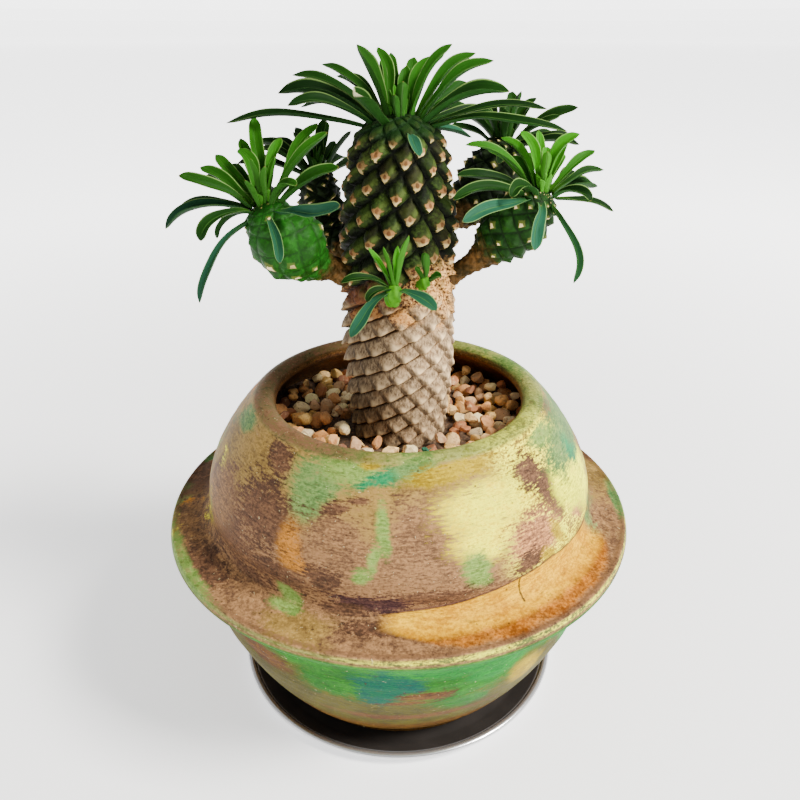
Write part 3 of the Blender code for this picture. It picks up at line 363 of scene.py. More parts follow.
def srgb(code):
    """The linear colour of a six-figure code."""
    values = [int(code[start:start + 2], 16) / 255 for start in (0, 2, 4)]
    linear = [value / 12.92 if value <= 0.04045 else ((value + 0.055) / 1.055) ** 2.4 for value in values]
    return (*linear, 1.0)


class Wire:
    """A value in a material. An expression on wires adds the maths nodes for it."""

    def __init__(self, finish, socket):
        self.finish = finish
        self.socket = socket

    def __add__(self, other):
        return self.finish.maths("ADD", self, other)

    def __sub__(self, other):
        return self.finish.maths("SUBTRACT", self, other)

    def __rsub__(self, other):
        return self.finish.maths("SUBTRACT", other, self)

    def __mul__(self, other):
        return self.finish.maths("MULTIPLY", self, other)

    def __truediv__(self, other):
        return self.finish.maths("DIVIDE", self, other)

    def __pow__(self, other):
        return self.finish.maths("POWER", self, other)

    __radd__ = __add__
    __rmul__ = __mul__

    def absolute(self):
        return self.finish.maths("ABSOLUTE", self)

    def least(self, other):
        return self.finish.maths("MINIMUM", self, other)

    def most(self, other):
        return self.finish.maths("MAXIMUM", self, other)

    def fraction(self):
        return self.finish.maths("FRACT", self)

    def whole(self):
        return self.finish.maths("FLOOR", self)

    def smooth(self, low, high):
        """0 at low, 1 at high, eased between. low may be the larger."""
        return self.finish.node("MapRange", {"interpolation_type": "SMOOTHSTEP"}, {0: self, 1: low, 2: high})


class Finish:
    """A material with a Principled shader, built from wires."""

    def __init__(self, name, roughness=0.5, specular=0.5):
        self.material = bpy.data.materials.new(name)
        self.material.use_nodes = True
        self.tree = self.material.node_tree
        self.shader = self.tree.nodes["Principled BSDF"]
        self.shader.inputs["Roughness"].default_value = roughness
        self.shader.inputs["Specular IOR Level"].default_value = specular

    def node(self, kind, settings=None, inputs=None, output=0):
        made = self.tree.nodes.new("ShaderNode" + kind)
        for key, value in (settings or {}).items():
            setattr(made, key, value)
        for key, value in (inputs or {}).items():
            self.feed(made.inputs[key], value)
        return Wire(self, made.outputs[output])

    def feed(self, socket, value):
        """Link a wire to a socket, or set its constant. A colour may be a code or a setting."""
        if isinstance(value, Wire):
            self.tree.links.new(value.socket, socket)
            return
        if isinstance(value, str):
            value = srgb(value)
        elif isinstance(value, Color):
            value = (*value, 1.0)
        socket.default_value = value

    def maths(self, operation, *values):
        return self.node("Math", {"operation": operation}, dict(enumerate(values)))

    def vectors(self, operation, *values):
        """Vector maths. A length, a distance or a dot product comes out as a number."""
        number = operation in ("LENGTH", "DISTANCE", "DOT_PRODUCT")
        return self.node("VectorMath", {"operation": operation}, dict(enumerate(values)), int(number))

    def vector(self, *values):
        return self.node("CombineXYZ", None, dict(enumerate(values)))

    def mix(self, share, first, second):
        return self.node("Mix", {"data_type": "RGBA"}, {0: share, 6: first, 7: second}, 2)

    def shade(self, colour, amount):
        """A colour made lighter or darker, or a vector made longer or shorter."""
        return self.node("VectorMath", {"operation": "SCALE"}, {0: colour, "Scale": amount})

    def where(self):
        """Place on the object, in millimetres."""
        return self.shade(self.node("TexCoord", output=3), 1 / MM)

    def parts(self, vector):
        split = self.node("SeparateXYZ", None, {0: vector})
        return [Wire(self, socket) for socket in split.socket.node.outputs]

    def stretch(self, place, scale):
        return self.vectors("MULTIPLY", place, scale)

    def noise(self, place, size, detail=3.0, rough=0.55, distortion=0.0):
        return self.node("TexNoise", None, {"Vector": place, "Scale": 1 / size, "Detail": detail,
                                            "Roughness": rough, "Distortion": distortion})

    def cells(self, place, size, output=0):
        return self.node("TexVoronoi", None, {"Vector": place, "Scale": 1 / size}, output)

    def attribute(self, name, output=1):
        """An attribute of the piece: output 0 is its colour, 1 its vector and 2 its number."""
        return self.node("Attribute", {"attribute_name": name}, None, output)

    def rise(self, wire, knots):
        """A wire led along (place, value) knots, straight from each to the next."""
        value = knots[0][1]
        for (start, low), (end, high) in zip(knots, knots[1:]):
            span = self.node("MapRange", None, {0: wire, 1: start, 2: end, 3: 0.0, 4: high - low})
            value = value + span
        return value

    def bump(self, height, depth):
        """Relief of a height wire, depth in millimetres for a height of one."""
        return self.node("Bump", None, {"Strength": 1.0, "Distance": depth * MM, "Height": height})

    def paint(self, colour=None, roughness=None, metallic=None, normal=None):
        for key, value in (("Base Color", colour), ("Roughness", roughness), ("Metallic", metallic),
                           ("Normal", normal)):
            if value is not None:
                self.feed(self.shader.inputs[key], value)


def curve_value(knots, place):
    """The smooth curve through (place, value) knots, read at one place."""
    if place <= knots[0][0]:
        return knots[0][1]
    if place >= knots[-1][0]:
        return knots[-1][1]
    last = len(knots) - 1
    low = max(i for i in range(last) if knots[i][0] <= place)

    def slope(i):
        before, after = knots[max(i - 1, 0)], knots[min(i + 1, last)]
        return (after[1] - before[1]) / (after[0] - before[0])

    span = knots[low + 1][0] - knots[low][0]
    t = (place - knots[low][0]) / span
    start, end = knots[low][1], knots[low + 1][1]
    return ((2 * t ** 3 - 3 * t ** 2 + 1) * start + (t ** 3 - 2 * t ** 2 + t) * span * slope(low)
            + (3 * t ** 2 - 2 * t ** 3) * end + (t ** 3 - t ** 2) * span * slope(low + 1))


def between(values, place):
    """A list of values read at a place between two of its numbers, and carried on past its ends."""
    whole = min(max(int(place), 0), len(values) - 2)
    return values[whole] + (values[whole + 1] - values[whole]) * (place - whole)


def step_between(limits, value):
    value = min(max((value - limits[0]) / (limits[1] - limits[0]), 0.0), 1.0)
    return value * value * (3 - 2 * value)


def piece(name, bm, finish, nodes=(), smooth=None):
    """A finished piece: its faces outwards, its material on, riding on the one body."""
    bmesh.ops.recalc_face_normals(bm, faces=bm.faces)
    mesh = bpy.data.meshes.new(name)
    bm.to_mesh(mesh)
    bm.free()
    mesh.shade_smooth()
    if smooth:
        mesh.set_sharp_from_angle(angle=math.radians(smooth))
    mesh.materials.append(finish.material)
    made = bpy.data.objects.new(name, mesh)
    bpy.context.scene.collection.objects.link(made)
    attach(made, "root")
    if nodes:
        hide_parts(*nodes)
    return made


def rounded(outline, steps, closed):
    """A smooth line through an outline of (radius, height) points. A point given twice stays a corner."""
    count = len(outline)
    line = []
    for index in range(count if closed else count - 1):
        near = range(index - 1, index + 3)
        near = [k % count if closed else min(max(k, 0), count - 1) for k in near]
        before, start, end, after = [Vector(outline[k]) for k in near]
        if start == end:
            continue
        if before == start:
            before = start * 2 - end
        if after == end:
            after = end * 2 - start
        for step in range(steps):
            t = step / steps
            line.append((start * 2 + (end - before) * t + (before * 2 - start * 5 + end * 4 - after) * t * t
                         + (start * 3 - before - end * 3 + after) * t ** 3) / 2)
    if not closed:
        line.append(Vector(outline[-1]))
    return line


def lathe(line, closed):
    """A body turned round the upright axis from a line of (radius, height) points."""
    bm = bmesh.new()
    points = [bm.verts.new((max(point[0], 0.0) * MM, 0.0, point[1] * MM)) for point in line]
    pairs = list(zip(points, points[1:]))
    if closed:
        pairs.append((points[-1], points[0]))
    edges = [bm.edges.new(pair) for pair in pairs]
    bmesh.ops.spin(bm, geom=points + edges, axis=(0, 0, 1), cent=(0, 0, 0), dvec=(0, 0, 0),
                   angle=math.tau, steps=ROUND_SIDES, use_merge=True, use_duplicate=False)
    bmesh.ops.remove_doubles(bm, verts=bm.verts, dist=1e-6)
    return bm


# Saucer

def steel_finish(settings):
    """Dark brown-black metal with a polished rim."""
    steel = Finish("dark_steel")
    place = steel.where()
    x, y, z = steel.parts(place)
    radius = (x * x + y * y) ** 0.5
    rim = radius.smooth(*SAUCER_RIM)
    under = (z - (radius - SAUCER_SOLE) * SAUCER_SLOPE).smooth(1.0, 0.5)
    under = under * radius.smooth(SAUCER_SOLE - 0.5, SAUCER_SOLE + 0.5)
    mottle = steel.noise(place, 14.0, 4.0)
    rings = steel.noise(steel.vector(radius * 3.0, z * 3.0), 1.0, 2.0)
    dark = steel.mix(mottle.smooth(0.35, 0.7), settings.floor_tone, "2A2420")
    bright = steel.mix(rings.smooth(0.3, 0.7), settings.rim_tone, "8C8C8E")
    colour = steel.mix(rim.most(under), dark, bright)
    roughness = 0.80 - 0.58 * rim + (mottle - 0.5) * 0.16
    steel.paint(colour, roughness, 0.10 + 0.70 * rim, steel.bump(rings, 0.03))
    return steel


def make_saucer(settings):
    bm = lathe(rounded(SAUCER_OUTLINE, OUTLINE_STEPS, False), False)
    piece("saucer_dish", bm, steel_finish(settings), ("saucer",))


# Pot

def glaze_finish(settings):
    """A satin glaze in soft patches, brushed and speckled, amber along the front of the flange."""
    glaze = Finish("mottled_glaze", specular=0.05)
    place = glaze.where()
    x, y, z = glaze.parts(place)
    radius = (x * x + y * y) ** 0.5
    turn = glaze.maths("ARCTAN2", x, y * -1.0) * math.degrees(1.0) - 90.0
    inside = glaze.attribute("inside", 2)
    ragged = glaze.noise(place, 15.0, 5.0, 0.62) - 0.5
    flat = glaze.stretch(place, (1.0, 1.0, 6.0))
    bristle = glaze.noise(flat, 5.0, 4.0, 0.7) - 0.5
    grain = glaze.noise(glaze.stretch(place, (1.0, 1.0, 1.6)), 1.15, 3.0, 0.65) - 0.5
    dry = (bristle * 1.9 + grain * 1.5 + ragged * 1.2).smooth(-0.55, 0.55)
    wet = (ragged * 1.8 + bristle * 1.6 + grain * 0.9).smooth(-0.5, 0.5)
    tones = dict(GLAZES)
    tones["olive"] = (tones["olive"][0], settings.olive)
    tones["amber"] = (tones["amber"][0], settings.amber)

    def cover(share, under, name):
        """A glaze laid over others: each is a dark tone, a light tone and how dry it was brushed."""
        if isinstance(name, str):
            name = (*tones[name], 1.0 if name in DRY_GLAZES else 0.0)
        dark, light, dryness = under
        dryness = glaze.node("Mix", {"data_type": "FLOAT"}, {0: share, 2: dryness, 3: name[2]})
        return glaze.mix(share, dark, name[0]), glaze.mix(share, light, name[1]), dryness

    def brushed(coat):
        texture = glaze.node("Mix", {"data_type": "FLOAT"}, {0: coat[2], 2: wet, 3: dry})
        return glaze.mix(texture, coat[0], coat[1])

    # The far side: the same glazes in wide soft patches
    broad = glaze.noise(glaze.stretch(place, (1.0, 1.0, 1.5)), 42.0, 2.0) + bristle * 0.2 + grain * 0.1
    second = glaze.noise(glaze.stretch(place, (1.0, 1.0, 1.4)), 30.0, 2.0, 0.5, 0.4)
    second = second + bristle * 0.2 + grain * 0.12
    third = glaze.noise(glaze.stretch(place, (0.8, 0.8, 1.6)), 23.0, 2.0) + bristle * 0.14 + grain * 0.1
    far = cover(broad.smooth(0.40, 0.50), (*tones["green"], 0.0), "olive")
    far = cover(second.smooth(0.52, 0.60), far, "mauve")
    far = cover(third.smooth(0.59, 0.66), far, "ochre")
    far = cover(third.smooth(0.42, 0.34), far, "taupe")
    far = cover(broad.smooth(0.61, 0.70), far, "cream")
    far = cover(second.smooth(0.38, 0.30), far, "light_green")

    # The front: olive above, brown brushed round the middle, paler to the right
    front = (y + 0.35 * x.absolute() + ragged * 22.0).smooth(6.0, -10.0)
    middle = (z + ragged * 14.0 + grain * 5.0).smooth(120.0, 112.0) * z.smooth(82.0, 86.0)
    coat = cover(middle * front, cover(front, far, "olive"), "taupe")
    coat = cover(z.smooth(*LOW_GLAZES) * (0.45 + 0.55 * front), coat, "low_olive")
    under_flange = (z + ragged * 12.0 + bristle * 5.0).smooth(60.0, 66.0) * z.smooth(84.2, 83.2)
    coat = cover(under_flange * (turn + ragged * 50.0).smooth(-138.0, -112.0) * front, coat, "low_green")
    to_right = (turn + ragged * 24.0).smooth(-66.0, -50.0) * z.smooth(92.0, 98.0) * front
    mottle = (bristle * 1.2 + grain * 1.4 + ragged).smooth(-0.20, 0.16)
    coat = cover(to_right * (0.08 + 0.92 * mottle), coat, "cream")
    dry_edge = ragged * 1.6 + bristle * 2.4 + grain * 1.2
    wet_edge = ragged * 1.8 + bristle * 1.7 + grain * 0.7

    def lay(under, wall, centre, size, tilt, name):
        """A patch round a centre on a wall laid flat, both as (turn, height) or (turn, radius)."""
        lean = math.radians(tilt)
        along = (math.cos(lean) * size[2] / size[0], math.sin(lean) / size[0], 0.0)
        up = (-math.sin(lean) * size[2] / size[1], math.cos(lean) / size[1], 0.0)
        local = glaze.vector(*[glaze.vectors("DOT_PRODUCT", wall, way) for way in (along, up)])
        middle = (centre[0] * along[0] + centre[1] * along[1], centre[0] * up[0] + centre[1] * up[1], 0.0)
        reach = glaze.vectors("DISTANCE", local, middle)
        if name in DRY_GLAZES:
            return cover((reach + dry_edge).smooth(1.3, 0.72), under, name)
        return cover((reach + wet_edge).smooth(1.34, 0.62), under, name)

    unrolled = glaze.vector(turn + ragged * 5.0, z - ragged * 3.0 + bristle * 2.0)
    for name, *spots in WALL_PATCHES:
        for spot_turn, spot_radius, height, wide, tall, tilt in spots:
            size = (wide, tall, math.radians(spot_radius))
            coat = lay(coat, unrolled, (spot_turn, height), size, tilt, name)
    ring = glaze.vector(turn + ragged * 5.0, radius + bristle * 1.5)
    strokes = (bristle + ragged * 0.8 + grain * 0.5).smooth(0.08, 0.26) * z.smooth(84.0, 88.0) * front
    coat = cover(strokes * 0.55, coat, "mauve")
    flange = cover(front, far, "taupe")
    for name, *spots in FLANGE_PATCHES:
        for spot_turn, spot_radius, wide, deep in spots:
            size = (wide, deep, math.radians(spot_radius))
            flange = lay(flange, ring, (spot_turn, spot_radius), size, 0.0, name)
    on_flange = radius.smooth(*FLANGE_RADII) * z.smooth(*FLANGE_HEIGHTS)
    coat = cover(on_flange, coat, flange)

    # Amber pooled where the bowl meets the flange, burnt further out
    first, last = AMBER_TURNS
    along = turn.smooth(first, first + 7.0) * turn.smooth(last, last - 7.0) * y.smooth(0.0, -5.0)
    crest = glaze.rise(turn, AMBER_CREST) + ragged * 1.2
    below = (z - crest).smooth(0.5, -0.3) * z.smooth(83.6, 84.6)
    limit = 85.0 + 9.6 * turn.smooth(-95.0, -74.0) - 5.0 * turn.smooth(-34.0, -20.0)
    outward = (radius - limit + ragged * 5.0 + bristle * 3.0 + grain * 2.0).smooth(1.6, -1.6)
    amber = cover((ragged + grain * 0.5).smooth(-0.2, 0.2), (*tones["burnt"], 0.0), "ochre")
    amber = cover((grain + ragged * 0.4).smooth(0.10, 0.24) * 0.8, amber, "rust")
    amber = cover((radius + ragged * 5.0 + bristle * 3.0).smooth(*AMBER_BRIGHT), amber, "amber")
    coat = cover(along * below * outward, coat, amber)
    seam = along * (z - crest - 0.2 + bristle * 0.6).absolute().smooth(0.75, 0.2) * radius.smooth(84.5, 83.0)
    coat = cover(seam * 0.85, coat, "purple")
    streaks = (bristle + ragged).smooth(0.0, 0.2) * turn.smooth(-50.0, -40.0) * turn.smooth(-16.0, -24.0)
    outer = radius.smooth(93.0, 94.4) * radius.smooth(97.0, 96.2) * y.smooth(0.0, -5.0)
    coat = cover(streaks * outer * on_flange, coat, "mauve")

    # Lips: a pale bead with a dark speckled line on the flange, a brown one in the mouth
    bead = radius.smooth(97.3, 98.0) * z.smooth(83.0, 84.2) * 0.6
    yellow_bead = (turn + ragged * 40.0).smooth(-110.0, -80.0)
    speckle = (bristle + ragged * 0.6 + grain).smooth(-0.10, 0.10)
    coat = cover(bead * yellow_bead * speckle, cover(bead, coat, "light_green"), "cream")
    line = radius.smooth(94.8, 95.8) * radius.smooth(97.4, 96.8) * z.smooth(83.0, 84.0)
    coat = cover(line * speckle * 0.6, coat, "mauve")
    rim = z.smooth(*RIM_HEIGHTS) * radius.smooth(*RIM_RADII)
    coat = cover(rim * speckle * 0.4, coat, "taupe")
    left = x.smooth(5.0, -25.0)
    coat = cover(rim * left * 0.6, cover(rim * 0.6, coat, "light_green"), "taupe")
    coat = cover(rim * (0.35 + 0.6 * speckle) * left, coat, "mauve")
    inner_line = z.smooth(133.0, 134.4) * z.smooth(136.8, 135.6) * radius.smooth(53.2, 52.0)
    coat = cover(inner_line * 0.75, coat, "brown")
    # partly painted light: the rust inside the mouth turns to a lighter taupe on the left, where the wall
    # faces the light
    coat = cover(inside * left, cover(inside, coat, "rust"), "taupe")
    coat = cover(inside * (bristle + ragged).smooth(-0.1, 0.25), coat, "brown")
    foot = (z + ragged * 8.0).smooth(*FOOT_STAIN)
    coat = cover(foot * 0.75, coat, "brown")
    colour = brushed(coat)

    # Hairline crack across the amber
    crack = (turn - CRACK_TURN + ragged * 2.0 + bristle).absolute().smooth(0.36, 0.12)
    crack = crack * radius.smooth(85.2, 84.2) * z.smooth(84.6, 85.6) * z.smooth(95.6, 94.6)
    crack = crack * y.smooth(0.0, -5.0)
    colour = glaze.mix(crack * 0.9, colour, "33211B")

    # Brush hairs, grain and specks over all
    hairs = glaze.noise(glaze.stretch(place, (0.4, 0.4, 3.4)), 2.2, 3.0, 0.6).smooth(0.60, 0.68)
    colour = glaze.mix(hairs * 0.45, colour, "4A3622")
    colour = glaze.shade(colour, (1.0 + bristle * 0.7 + grain * 1.1).most(0.4))
    pale = glaze.noise(place, 1.15, 2.0, 0.6, 0.6).smooth(0.68, 0.75)
    colour = glaze.mix(pale * (1.0 - along * below) * 0.45, colour, "E8D8A0")
    dots = glaze.cells(place, 6.5)
    dark = dots.smooth(0.085, 0.05) + glaze.noise(place, 1.4, 2.0).smooth(0.30, 0.26) * 0.7
    colour = glaze.mix(dark.least(1.0) * 0.75, colour, "38281C")
    relief = grain * 0.8 + bristle * 1.0 + pale * 0.4
    shine = settings.gloss + grain * 0.25 + bristle * 0.2
    glaze.paint(colour, shine.most(0.25), None, glaze.bump(relief, 0.22))
    return glaze


def make_pot(settings):
    """The thrown pot: turned from its smoothed outline, then wavered a little by the hand."""
    line = rounded(POT_OUTSIDE + POT_INSIDE, OUTLINE_STEPS, True)
    for point in line:
        point.x = min(point.x, WIDEST)
    bm = lathe(line, True)
    inside = bm.verts.layers.float.new("inside")
    ripple = settings.ripple / MM
    for vertex in bm.verts:
        radius = vertex.co.xy.length / MM
        height = vertex.co.z / MM
        turn = math.atan2(vertex.co.y, vertex.co.x)
        front = max(0.0, -math.sin(turn))
        lift = FLANGE_LIFT * max(0.0, (radius - FLANGE_ROOT) / (WIDEST - FLANGE_ROOT)) * front ** 2
        wall = step_between((2.0, 9.0), height) * step_between((139.0, 134.0), height)
        waver = 0.16 * math.sin(turn * 2 + height * 0.03) + 0.1 * math.sin(turn * 5 - height * 0.06)
        waver += ripple * math.sin(height / RIPPLE_PITCH * math.tau + 0.8 * math.sin(turn))
        pushed = min(radius + waver * wall, WIDEST) if radius > DRAIN_RADIUS + 1 else radius
        vertex.co.xy *= pushed / radius
        vertex.co.z = (height + lift + 0.1 * wall * math.sin(turn * 3 + 1.0)) * MM
        wall_inside = curve_value(INNER_WALL, height)
        vertex[inside] = step_between((0.6, 0.0), radius - wall_inside) * step_between((4.0, 8.0), height)
        if height > MOUTH[0]:
            vertex[inside] *= step_between((MOUTH[1] - 2.2, MOUTH[1] - 4.4), height)
    piece("thrown_pot", bm, glaze_finish(settings), ("pot",))


# Soil and gravel

def make_soil():
    """The potting soil stays as it is packed, with a dark crumbly finish."""
    soil = Finish("potting_soil", roughness=0.95)
    place = soil.where()
    crumbs = soil.cells(place, 1.8)
    tone = soil.mix(soil.noise(place, 3.0), "3A2A1C", "7A5A3C")
    # painted shade: near black in the gaps between the crumbs
    soil.paint(soil.mix(crumbs.smooth(0.2, 0.5) * 0.5, tone, "120C09"), None, None, soil.bump(crumbs, 0.9))
    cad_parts["soil"].data.materials.clear()
    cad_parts["soil"].data.materials.append(soil.material)


def stone_finish():
    """Matte weathered stone, its own colour on each."""
    stone = Finish("weathered_stone")
    place = stone.where()
    tone = stone.attribute("stone", 0)
    clouds = stone.noise(place, 2.4, 4.0, 0.65)
    grain = stone.noise(place, 0.55, 3.0, 0.7)
    colour = stone.mix(clouds.smooth(0.50, 0.68) * 0.6, tone, "8A5424")
    colour = stone.mix(clouds.smooth(0.45, 0.30) * 0.45, colour, "F0DAA0")
    colour = stone.shade(colour, 0.72 + grain * 0.56)
    pits = stone.cells(place, 1.1).smooth(0.28, 0.10) * clouds.smooth(0.42, 0.55)
    colour = stone.mix(pits * 0.6, colour, "4E3423")
    stone.paint(colour, 0.62 + grain * 0.3, None, stone.bump(grain * 0.5 + clouds - pits * 0.5, 0.35))
    return stone


def lay_stone(bm, tone_layer, chance, middle, size, tone, smoothness=0.0):
    """One stone: a small ball drawn out, knocked about and turned."""
    made = bmesh.ops.create_icosphere(bm, subdivisions=2, radius=0.5)["verts"]
    stretch = Vector((1.0, chance.uniform(*STONE_WIDTHS), chance.uniform(*STONE_DEPTHS)))
    if smoothness:
        stretch = NUT_SHAPE
    shift = Vector([chance.uniform(-60, 60) for _ in range(3)])
    turned = Euler([chance.uniform(0, math.tau) for _ in range(3)]).to_matrix()
    if not smoothness:
        tilts = [chance.uniform(-STONE_TILT, STONE_TILT) for _ in range(2)]
        turned = Euler((*tilts, chance.uniform(0, math.tau))).to_matrix()
    angular = chance.uniform(*STONE_KNOCKS) * (1.0 - smoothness)
    breaks = []
    for _ in range(0 if smoothness else chance.randrange(*STONE_BREAKS)):
        way = Vector([chance.gauss(0, 1) for _ in range(3)]).normalized()
        breaks.append((way, chance.uniform(*BREAK_REACH)))
    for vertex in made:
        out = vertex.co.normalized()
        knock = noise.noise(out * 1.3 + shift) + 0.5 * noise.noise(out * 3.1 + shift)
        point = vertex.co * (1.0 + angular * knock)
        for way, reach in breaks:
            point -= way * max(0.0, point.dot(way) - reach) * 0.95
        point = turned @ Vector([point[axis] * stretch[axis] * size for axis in range(3)])
        vertex.co = (middle + point) * MM
        vertex[tone_layer] = tone


def make_gravel(settings):
    """Loose stones in two layers between the stem and the wall, each with its own colour."""
    chance = random.Random(STONE_SEED + settings.shuffle)
    bm = bmesh.new()
    tone_layer = bm.verts.layers.float_color.new("stone")
    small, large = settings.smallest / MM, settings.largest / MM
    lying = []
    for middle in NUTS:
        lying.append((middle, NUT_SIZE))
        lay_stone(bm, tone_layer, chance, middle, NUT_SIZE, srgb("A85F2C"), NUT_SMOOTHNESS)
    for height, count, close in STONE_LAYERS:
        laid = 0
        for _ in range(STONE_TRIES):
            if laid >= count:
                break
            size = chance.uniform(small, large) * (BIG_STONES[1] if chance.random() < BIG_STONES[0] else 1.0)
            turn = chance.uniform(0, math.tau)
            outer = curve_value(BED_WALL, height) - size * 0.45
            inner = STEM_CLEAR + size * 0.42
            radius = math.sqrt(chance.uniform(inner ** 2, outer ** 2))
            above = height + chance.uniform(-STONE_WAVER, STONE_WAVER)
            middle = Vector((radius * math.cos(turn), radius * math.sin(turn), above))
            if any((middle - other).length < (size + girth) * 0.5 * close for other, girth in lying):
                continue
            lying.append((middle, size))
            tone = srgb(STONE_TONES[chance.randrange(len(STONE_TONES))])
            light = chance.uniform(*STONE_LIGHT)
            tone = tuple(min(value * light, 1.0) for value in tone[:3]) + (1.0,)
            lay_stone(bm, tone_layer, chance, middle, size, tone)
            laid += 1
    piece("gravel_stones", bm, stone_finish(), ("gravel",), STONE_SHARP)

    moss = Finish("moss", roughness=0.9)
    place = moss.where()
    moss.paint(moss.mix(moss.noise(place, 0.7), "123A2A", "2F7A58"), None, None,
               moss.bump(moss.noise(place, 0.5), 0.6))
    bm = bmesh.new()
    for _ in range(MOSS_BALLS):
        middle = Vector([at + chance.uniform(*spread) for at, spread in zip(MOSS, MOSS_SPREAD)])
        made = bmesh.ops.create_icosphere(bm, subdivisions=2, radius=chance.uniform(0.6, 1.1) * MM)["verts"]
        for vertex in made:
            vertex.co *= 1.0 + 0.5 * noise.noise(vertex.co * 1400 + middle)
            vertex.co += middle * MM
    piece("moss_tuft", bm, moss)


# Stem and branches

def apex_height(u, v, apex, power):
    """Height of a scale over its cell, 0 on its edges and 1 at its apex."""
    ramps = (u / apex[0], (1 - u) / (1 - apex[0]), v / apex[1], (1 - v) / (1 - apex[1]))
    soft = sum(max(ramp, 0.002) ** -4 for ramp in ramps) ** -0.25 * 4 ** 0.25
    return min(soft, 1.0) ** power


def pillow(place, apex):
    """A smooth rise from 0 at both ends to 1 at the apex."""
    return max(math.sin(math.pi * place ** (math.log(0.5) / math.log(apex))), 0.0)


def scaly_skin(spirals, first, last, fine, place):
    """A skin of scales in two families of golden spirals, each scale a patch of fine x fine faces.

    A grid is wound round so that its two directions follow the two families. place(turn, number,
    u, v, cell) gives a point, where number counts the scales upwards, u and v run over a scale
    along the two families and cell is its own number. The UV map counts whole scales.
    """
    few, many = spirals
    turn_few = math.remainder(few * GOLDEN_TURN, math.tau)
    turn_many = math.remainder(many * GOLDEN_TURN, math.tau)
    offset = math.floor(first / few) - many
    columns = math.ceil((last - first) / few) + many + 2
    bm = bmesh.new()
    bmesh.ops.create_grid(bm, x_segments=columns * fine, y_segments=few * fine, size=1.0)
    lattice = bm.loops.layers.uv.new("lattice")

    def count(corner):
        column = round((corner.co.x + 1) / 2 * columns * fine) / fine + offset
        row = round((corner.co.y + 1) / 2 * few * fine) / fine
        return column, row

    outside = []
    for face in bm.faces:
        numbers = []
        for loop in face.loops:
            column, row = count(loop.vert)
            loop[lattice].uv = (column, row)
            numbers.append(few * column + many * row)
        if min(numbers) < first or max(numbers) > last:
            outside.append(face)
    bmesh.ops.delete(bm, geom=outside, context="FACES")
    for vertex in bm.verts:
        column, row = count(vertex)
        number = few * column + many * row
        u, v = column - math.floor(column), row - math.floor(row)
        cell = few * math.floor(column) + many * math.floor(row)
        vertex.co = place(turn_few * column + turn_many * row, number, u, v, cell)
    bmesh.ops.remove_doubles(bm, verts=bm.verts, dist=2e-6)
    bmesh.ops.holes_fill(bm, edges=[edge for edge in bm.edges if edge.is_boundary], sides=0)
    bmesh.ops.triangulate(bm, faces=[face for face in bm.faces if len(face.verts) > 4])
    return bm


def scale_parts(bark, steps):
    """Wires for a scale: side and rise on it in millimetres, 0 to 1 from its edge, chances, u and v.

    steps are the side and rise of one scale along each of the two spiral families.
    """
    few_step, many_step = steps
    lattice = bark.node("UVMap", {"uv_map": "lattice"})
    column, row, _ = bark.parts(lattice)
    u, v = column.fraction(), row.fraction()
    side = (u - 0.5) * few_step[0] + (v - 0.5) * many_step[0]
    rise = (u - 0.5) * few_step[1] + (v - 0.5) * many_step[1]
    edge = u.least(1.0 - u).least(v.least(1.0 - v)) * 2.0
    own = bark.vector(column.whole() + 0.5, row.whole() + 0.5)
    chances = bark.parts(bark.node("TexWhiteNoise", {"noise_dimensions": "3D"}, {"Vector": own}, 1))
    return side, rise, edge, chances, u, v


def kite(side, rise, half, top, bottom):
    """How far in a kite-shaped scar a point lies: below 1 inside it."""
    return side.absolute() / half + (rise / top).most(rise * (-1.0 / bottom))


